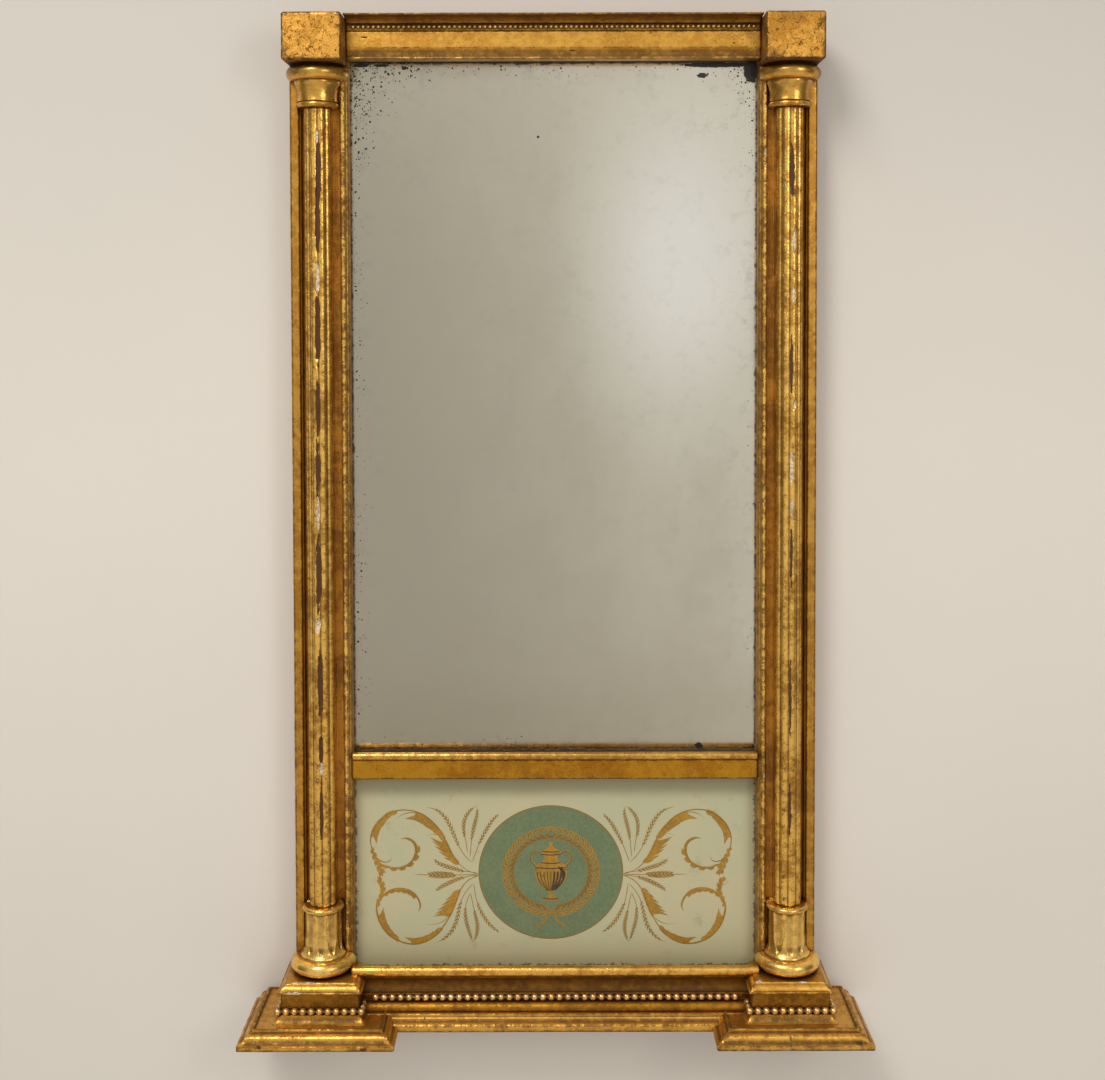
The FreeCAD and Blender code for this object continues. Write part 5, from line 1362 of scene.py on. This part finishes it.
def blade(root, way, side, height, lean, half, shade):
    # One pointed blade: it leaves the rib sideways and bends forward to its tip.
    aside = np.array([-way[1], way[0]]) * side
    middle = root + aside * height * 0.52 + way * height * lean * 0.30
    tip = root + aside * height + way * height * lean
    near = root + aside * height * 0.2 + way * height * lean * 0.06
    rows = [(root, half), (near, half * 1.05), (middle, half * 0.72), (tip, 0.06)]
    return stroke([tuple(place) + (width,) for place, width in rows], None, shade)


def barbed(points, heights, count, lean, rib, start, stop, shade):
    # A rib with pointed blades on one or both sides; on a leaf they grow towards its tip, on
    # a spray (with its thin rib) they grow and fade.
    line, way, share = splineThrough(points, 0.5)
    made = [stroke(points, rib, shade)]
    spray = rib < 0.5
    gap = (stop - start) * len(line) * 0.5 / count
    for side, height in zip((1, -1), heights):
        if not height:
            continue
        root = min(0.36 * gap, 0.30 * height + 0.2) if spray else 0.50 * gap
        for number in range(count):
            part = (number + (0.5 if side < 0 else 0.15)) / count
            at = min(np.searchsorted(share, start + (stop - start) * part), len(line) - 1)
            if spray:
                size = height * math.sin(math.pi * (0.18 + 0.74 * part)) ** 0.7
            else:
                size = height * math.sin(math.pi * (0.12 + 0.50 * part))
            made.append(blade(line[at, :2], way[at], side, size, lean, root, shade))
    return made


def scrolls(mirrored):
    flip = np.array([-1.0 if mirrored else 1.0, 1.0])
    gold, dark = [], []
    for half, peak, points in stems.values():
        points = np.asarray(points) * flip
        share = np.linspace(0, 1, len(points))
        swell = 0.45 + 0.55 * np.exp(-((share - peak) / 0.22) ** 2)
        width = half * swell * np.minimum(1, (1 - share) / 0.12 + 0.2)
        gold.append(stroke(np.column_stack([points, width]), None, 0.25))
        shifted = points + np.array([0.35, -0.75 * half])
        dark.append(stroke(shifted[2:-1], 0.16))
    for left, right, count, lean, rib, points in leaves.values():
        heights = (right, left) if mirrored else (left, right)
        gold += barbed(np.asarray(points) * flip, heights, count, lean, rib, 0.02, 0.95, 0.12)
    for height, count, start, stop, points in sprays.values():
        gold += barbed(np.asarray(points) * flip, (height, height), count, 1.5, 0.42, start, stop, 0.55)
    return gold, dark


def wreathAndUrn():
    # A plain classical ornament: laurel round an urn, in gold with brown shading.
    gold, dark = [], []
    reachX, reachZ = painting["wreath"]
    count = painting["wreathLeaves"]
    for side in (-1, 1):
        turn = np.linspace(math.radians(-84), math.radians(82), count)
        branch = np.stack([side * reachX * np.cos(turn), reachZ * np.sin(turn)], axis=1)
        gold.append(stroke(branch, 0.6, 0.3))
        way = np.gradient(branch, axis=0)
        way = way / np.hypot(*way.T)[:, None]
        for number in range(count):
            for end in (-1, 1):
                aside = np.array([-way[number, 1], way[number, 0]]) * end
                root = branch[number]
                tip = root + way[number] * 10.5 + aside * 7.0
                middle = root + way[number] * 4.4 + aside * 4.6
                gold.append(stroke([tuple(root) + (0.4,), tuple(middle) + (2.3,), tuple(tip) + (0.1,)], None,
                                   0.15 + 0.45 * (end * side > 0)))
                dark.append(stroke([tuple(root + way[number] * 1.5 + aside), tuple(middle),
                                    tuple(root + way[number] * 8.2 + aside * 5.8)], 0.24))
    body = [(-34, 10), (-31.5, 10), (-30, 5.5), (-26, 3), (-22.5, 3.4), (-19, 9), (-13, 14.5), (-5, 18.2),
            (3, 18.8), (9, 16), (13, 10), (16, 8), (20, 8.6), (22, 12), (24.5, 12), (27, 7.5), (30, 3.2),
            (32, 1.6), (34.5, 2.6), (37, 0.3)]
    gold.append(stroke([(0.0, tall, half) for tall, half in body], None, 0.1))
    for tall, half in ((-31, 9.5), (-20.5, 6.0), (5.5, 18.0), (11.5, 12.0), (21.5, 11.0), (25, 11.0)):
        dark.append(stroke([(-half, tall), (-half / 2, tall - 0.8), (0, tall - 1.1), (half / 2, tall - 0.8),
                            (half, tall)], 0.6))
    for number in range(-4, 5):
        lean = number / 4.4
        dark.append(stroke([(lean * 5, -21), (lean * 12.5, -14), (lean * 17, -6), (lean * 18, 1.5)],
                           0.45 + 0.75 * (number > 0)))
    for number in range(3):
        dark.append(stroke([(8.5 + number * 1.8, 6.5), (12.5 + number * 1.5, 0), (12 + number * 1.7, -8)],
                           0.7))
    for side in (-1, 1):
        handle = [(9, 20.5), (15, 25), (22, 23), (23.5, 15), (19, 9), (17.5, 4)]
        gold.append(stroke([(side * x, z) for x, z in handle], 1.25, 0.35))
        dark.append(stroke([(side * (x + 0.5), z - 0.8) for x, z in handle], 0.3))
        bow = [(0, -47), (7, -41.5), (14, -43), (13, -49.5), (6, -50.5), (0, -47)]
        gold.append(stroke([(side * x, z) for x, z in bow], 1.1, 0.25))
        tail = [(0, -47), (5, -53), (8, -59), (14, -62), (18, -67)]
        gold.append(stroke([(side * x, z) for x, z in tail], 1.3, 0.35))
        for number in range(7):
            sag = 6.5 - 10 * math.sin(math.pi * (number + 0.5) / 7)
            root = np.array([side * (1.5 + number * 2.3), sag])
            gold.append(stroke([tuple(root), tuple(root + np.array([side * 1.9, -1.4])),
                                tuple(root + np.array([side * 3.6, -0.6]))], 1.2, 0.75))
    return gold, dark


def strokeMesh(name, rings, depth, material):
    centre = painting["centre"]
    points, groups, caps, shades, first = [], [], [], [], 0
    for number, (ring, shade) in enumerate(rings):
        rows, cols = ring.shape[:2]
        grid = np.zeros((rows, cols, 3))
        grid[..., 0] = ring[..., 0] + centre[0]
        grid[..., 2] = ring[..., 1] + centre[1]
        lift = depth + 0.01 * number / len(rings)
        behind = painting["behind"]
        grid[..., 1] = build["glass"] - np.array([lift, lift + 0.012, lift, behind, behind])
        groups.append(gridFaces(rows, cols, True, first))
        caps += closeEnds(rows, cols, first)
        points.append(grid.reshape(-1, 3))
        shades.append(np.full(rows * cols, shade))
        first += rows * cols
    meshFrom(name, np.concatenate(points) * mm, [np.concatenate(groups), np.concatenate(caps)],
             {"shade": np.concatenate(shades)}, materials[material], flat=(0, 1))


def paintPanel():
    count = painting["rimPoints"]
    turn = np.arange(count) / count * 2 * math.pi
    reachX, reachZ = painting["radii"]
    outline = np.stack([np.cos(turn) * reachX, 0 * turn, np.sin(turn) * reachZ], axis=1)
    outline += np.array([painting["centre"][0], build["glass"], painting["centre"][1]])
    layers = [outline - [0, depth, 0] for depth in (painting["ground"], painting["behind"])]
    index = np.arange(count)
    beside = (index + 1) % count
    side = np.stack([index, beside, beside + count, index + count], axis=1)
    ends = np.stack([index[::-1], index + count])
    meshFrom("medallionGround", np.concatenate(layers) * mm, [side, ends], {"shade": 0.0},
             materials["tealPaint"], flat=(0, 1))
    gold, dark = [], []
    for moreGold, moreDark in (scrolls(False), scrolls(True), wreathAndUrn()):
        gold += moreGold
        dark += moreDark
    line = np.linspace(0, 2 * math.pi, 60)
    rim = np.stack([np.cos(line) * reachX, np.sin(line) * reachZ, 0 * line + painting["line"]], axis=1)
    gold.append(stroke(rim, None, 0.6))
    strokeMesh("paintedGold", gold, painting["gold"], "goldPaint")
    strokeMesh("paintedBrown", dark, painting["dark"], "darkPaint")


paintPanel()
print("panel painted")


# What stays as built gets its finish: carcass, glass, boards and fittings
carcass = {"left_stile": "pineUpright", "right_stile": "pineUpright", "top_rail": "pineLevel",
           "cross_rail": "pineLevel", "bottom_rail": "pineLevel", "joint_pegs": "pineUpright",
           "mirror_backboard_1": "pineBoard", "mirror_backboard_2": "pineBoard",
           "mirror_backboard_3": "pineBoard", "panel_backboard": "pineBoard",
           "mirror_glass": "mirrorSilver", "painted_glass_panel": "panelPaint",
           "backboard_nails": "oldIron", "hanger_screws": "oldIron", "left_ring_plate": "oldBrass",
           "right_ring_plate": "oldBrass", "left_ring": "oldBrass", "right_ring": "oldBrass"}


def dressCarcass():
    for node, material in carcass.items():
        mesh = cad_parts[node].data
        mesh.materials.clear()
        mesh.materials.append(materials[material])


dressCarcass()
print("carcass and fittings finished")


# The room: a wall behind the mirror and a floor below it
room = {"wallY": 0.0076, "floorZ": -0.78, "wide": 4.0, "high": 3.2, "wall": rgb(0.735, 0.69, 0.625),
        "dimWall": rgb(0.71, 0.668, 0.605), "wallTopPaintedShade": rgb(0.49, 0.47, 0.43), "floor": rgb(0.74, 0.71, 0.67),
        # half width, lowest and highest line of the wall's opening behind the mirror, which
        # lets light reach the back
        "opening": (0.294, 0.006, 1.135)}


def makeRoom():
    w, shader = surface("paleWall")
    where = w.where()
    colour = w.blend(w.rise(w.noise(where, 1.6, 2.0), 0.3, 0.7), room["wall"], room["dimWall"])
    across, deep, tall = w.split(where)
    # Painted shade: the wall darkens towards the top.
    colour = w.blend(w.times(w.rise(tall, 0.55, 1.35), 0.8), colour, room["wallTopPaintedShade"])
    w.put(shader["Base Color"], colour)
    shader["Roughness"].default_value = 0.9
    # the wall is clear from behind, so that the back can be looked at
    behind = w.add("NewGeometry").outputs["Backfacing"]
    clear = w.add("BsdfTransparent").outputs[0]
    seen = w.tree.nodes["Principled BSDF"].outputs[0]
    w.put(w.tree.nodes["Material Output"].inputs["Surface"],
          w.add("MixShader", {0: behind, 1: seen, 2: clear}).outputs[0])
    w, shader = surface("paleFloor")
    shader["Base Color"].default_value = room["floor"]
    shader["Roughness"].default_value = 0.8
    wide, high, wallY, floorZ = (room[key] for key in ("wide", "high", "wallY", "floorZ"))
    side, low, top = room["opening"]
    around = [(-wide, floorZ), (wide, floorZ), (wide, high), (-wide, high)]
    opening = [(-side, low), (side, low), (side, top), (-side, top)]
    strips = [(k, (k + 1) % 4, (k + 1) % 4 + 4, k + 4) for k in range(4)]
    ground = [(-wide, -wide), (wide, -wide), (wide, wide), (-wide, wide)]
    sheets = (("wall", "paleWall", [(x, wallY, z) for x, z in around + opening], strips),
              ("floor", "paleFloor", [(x, y, floorZ) for x, y in ground], [(0, 1, 2, 3)]))
    for name, material, corners, faces in sheets:
        mesh = bpy.data.meshes.new(name)
        mesh.from_pydata(corners, [], faces)
        mesh.materials.append(materials[material])
        sheet = bpy.data.objects.new(name, mesh)
        bpy.context.scene.collection.objects.link(sheet)


makeRoom()
print("room made")
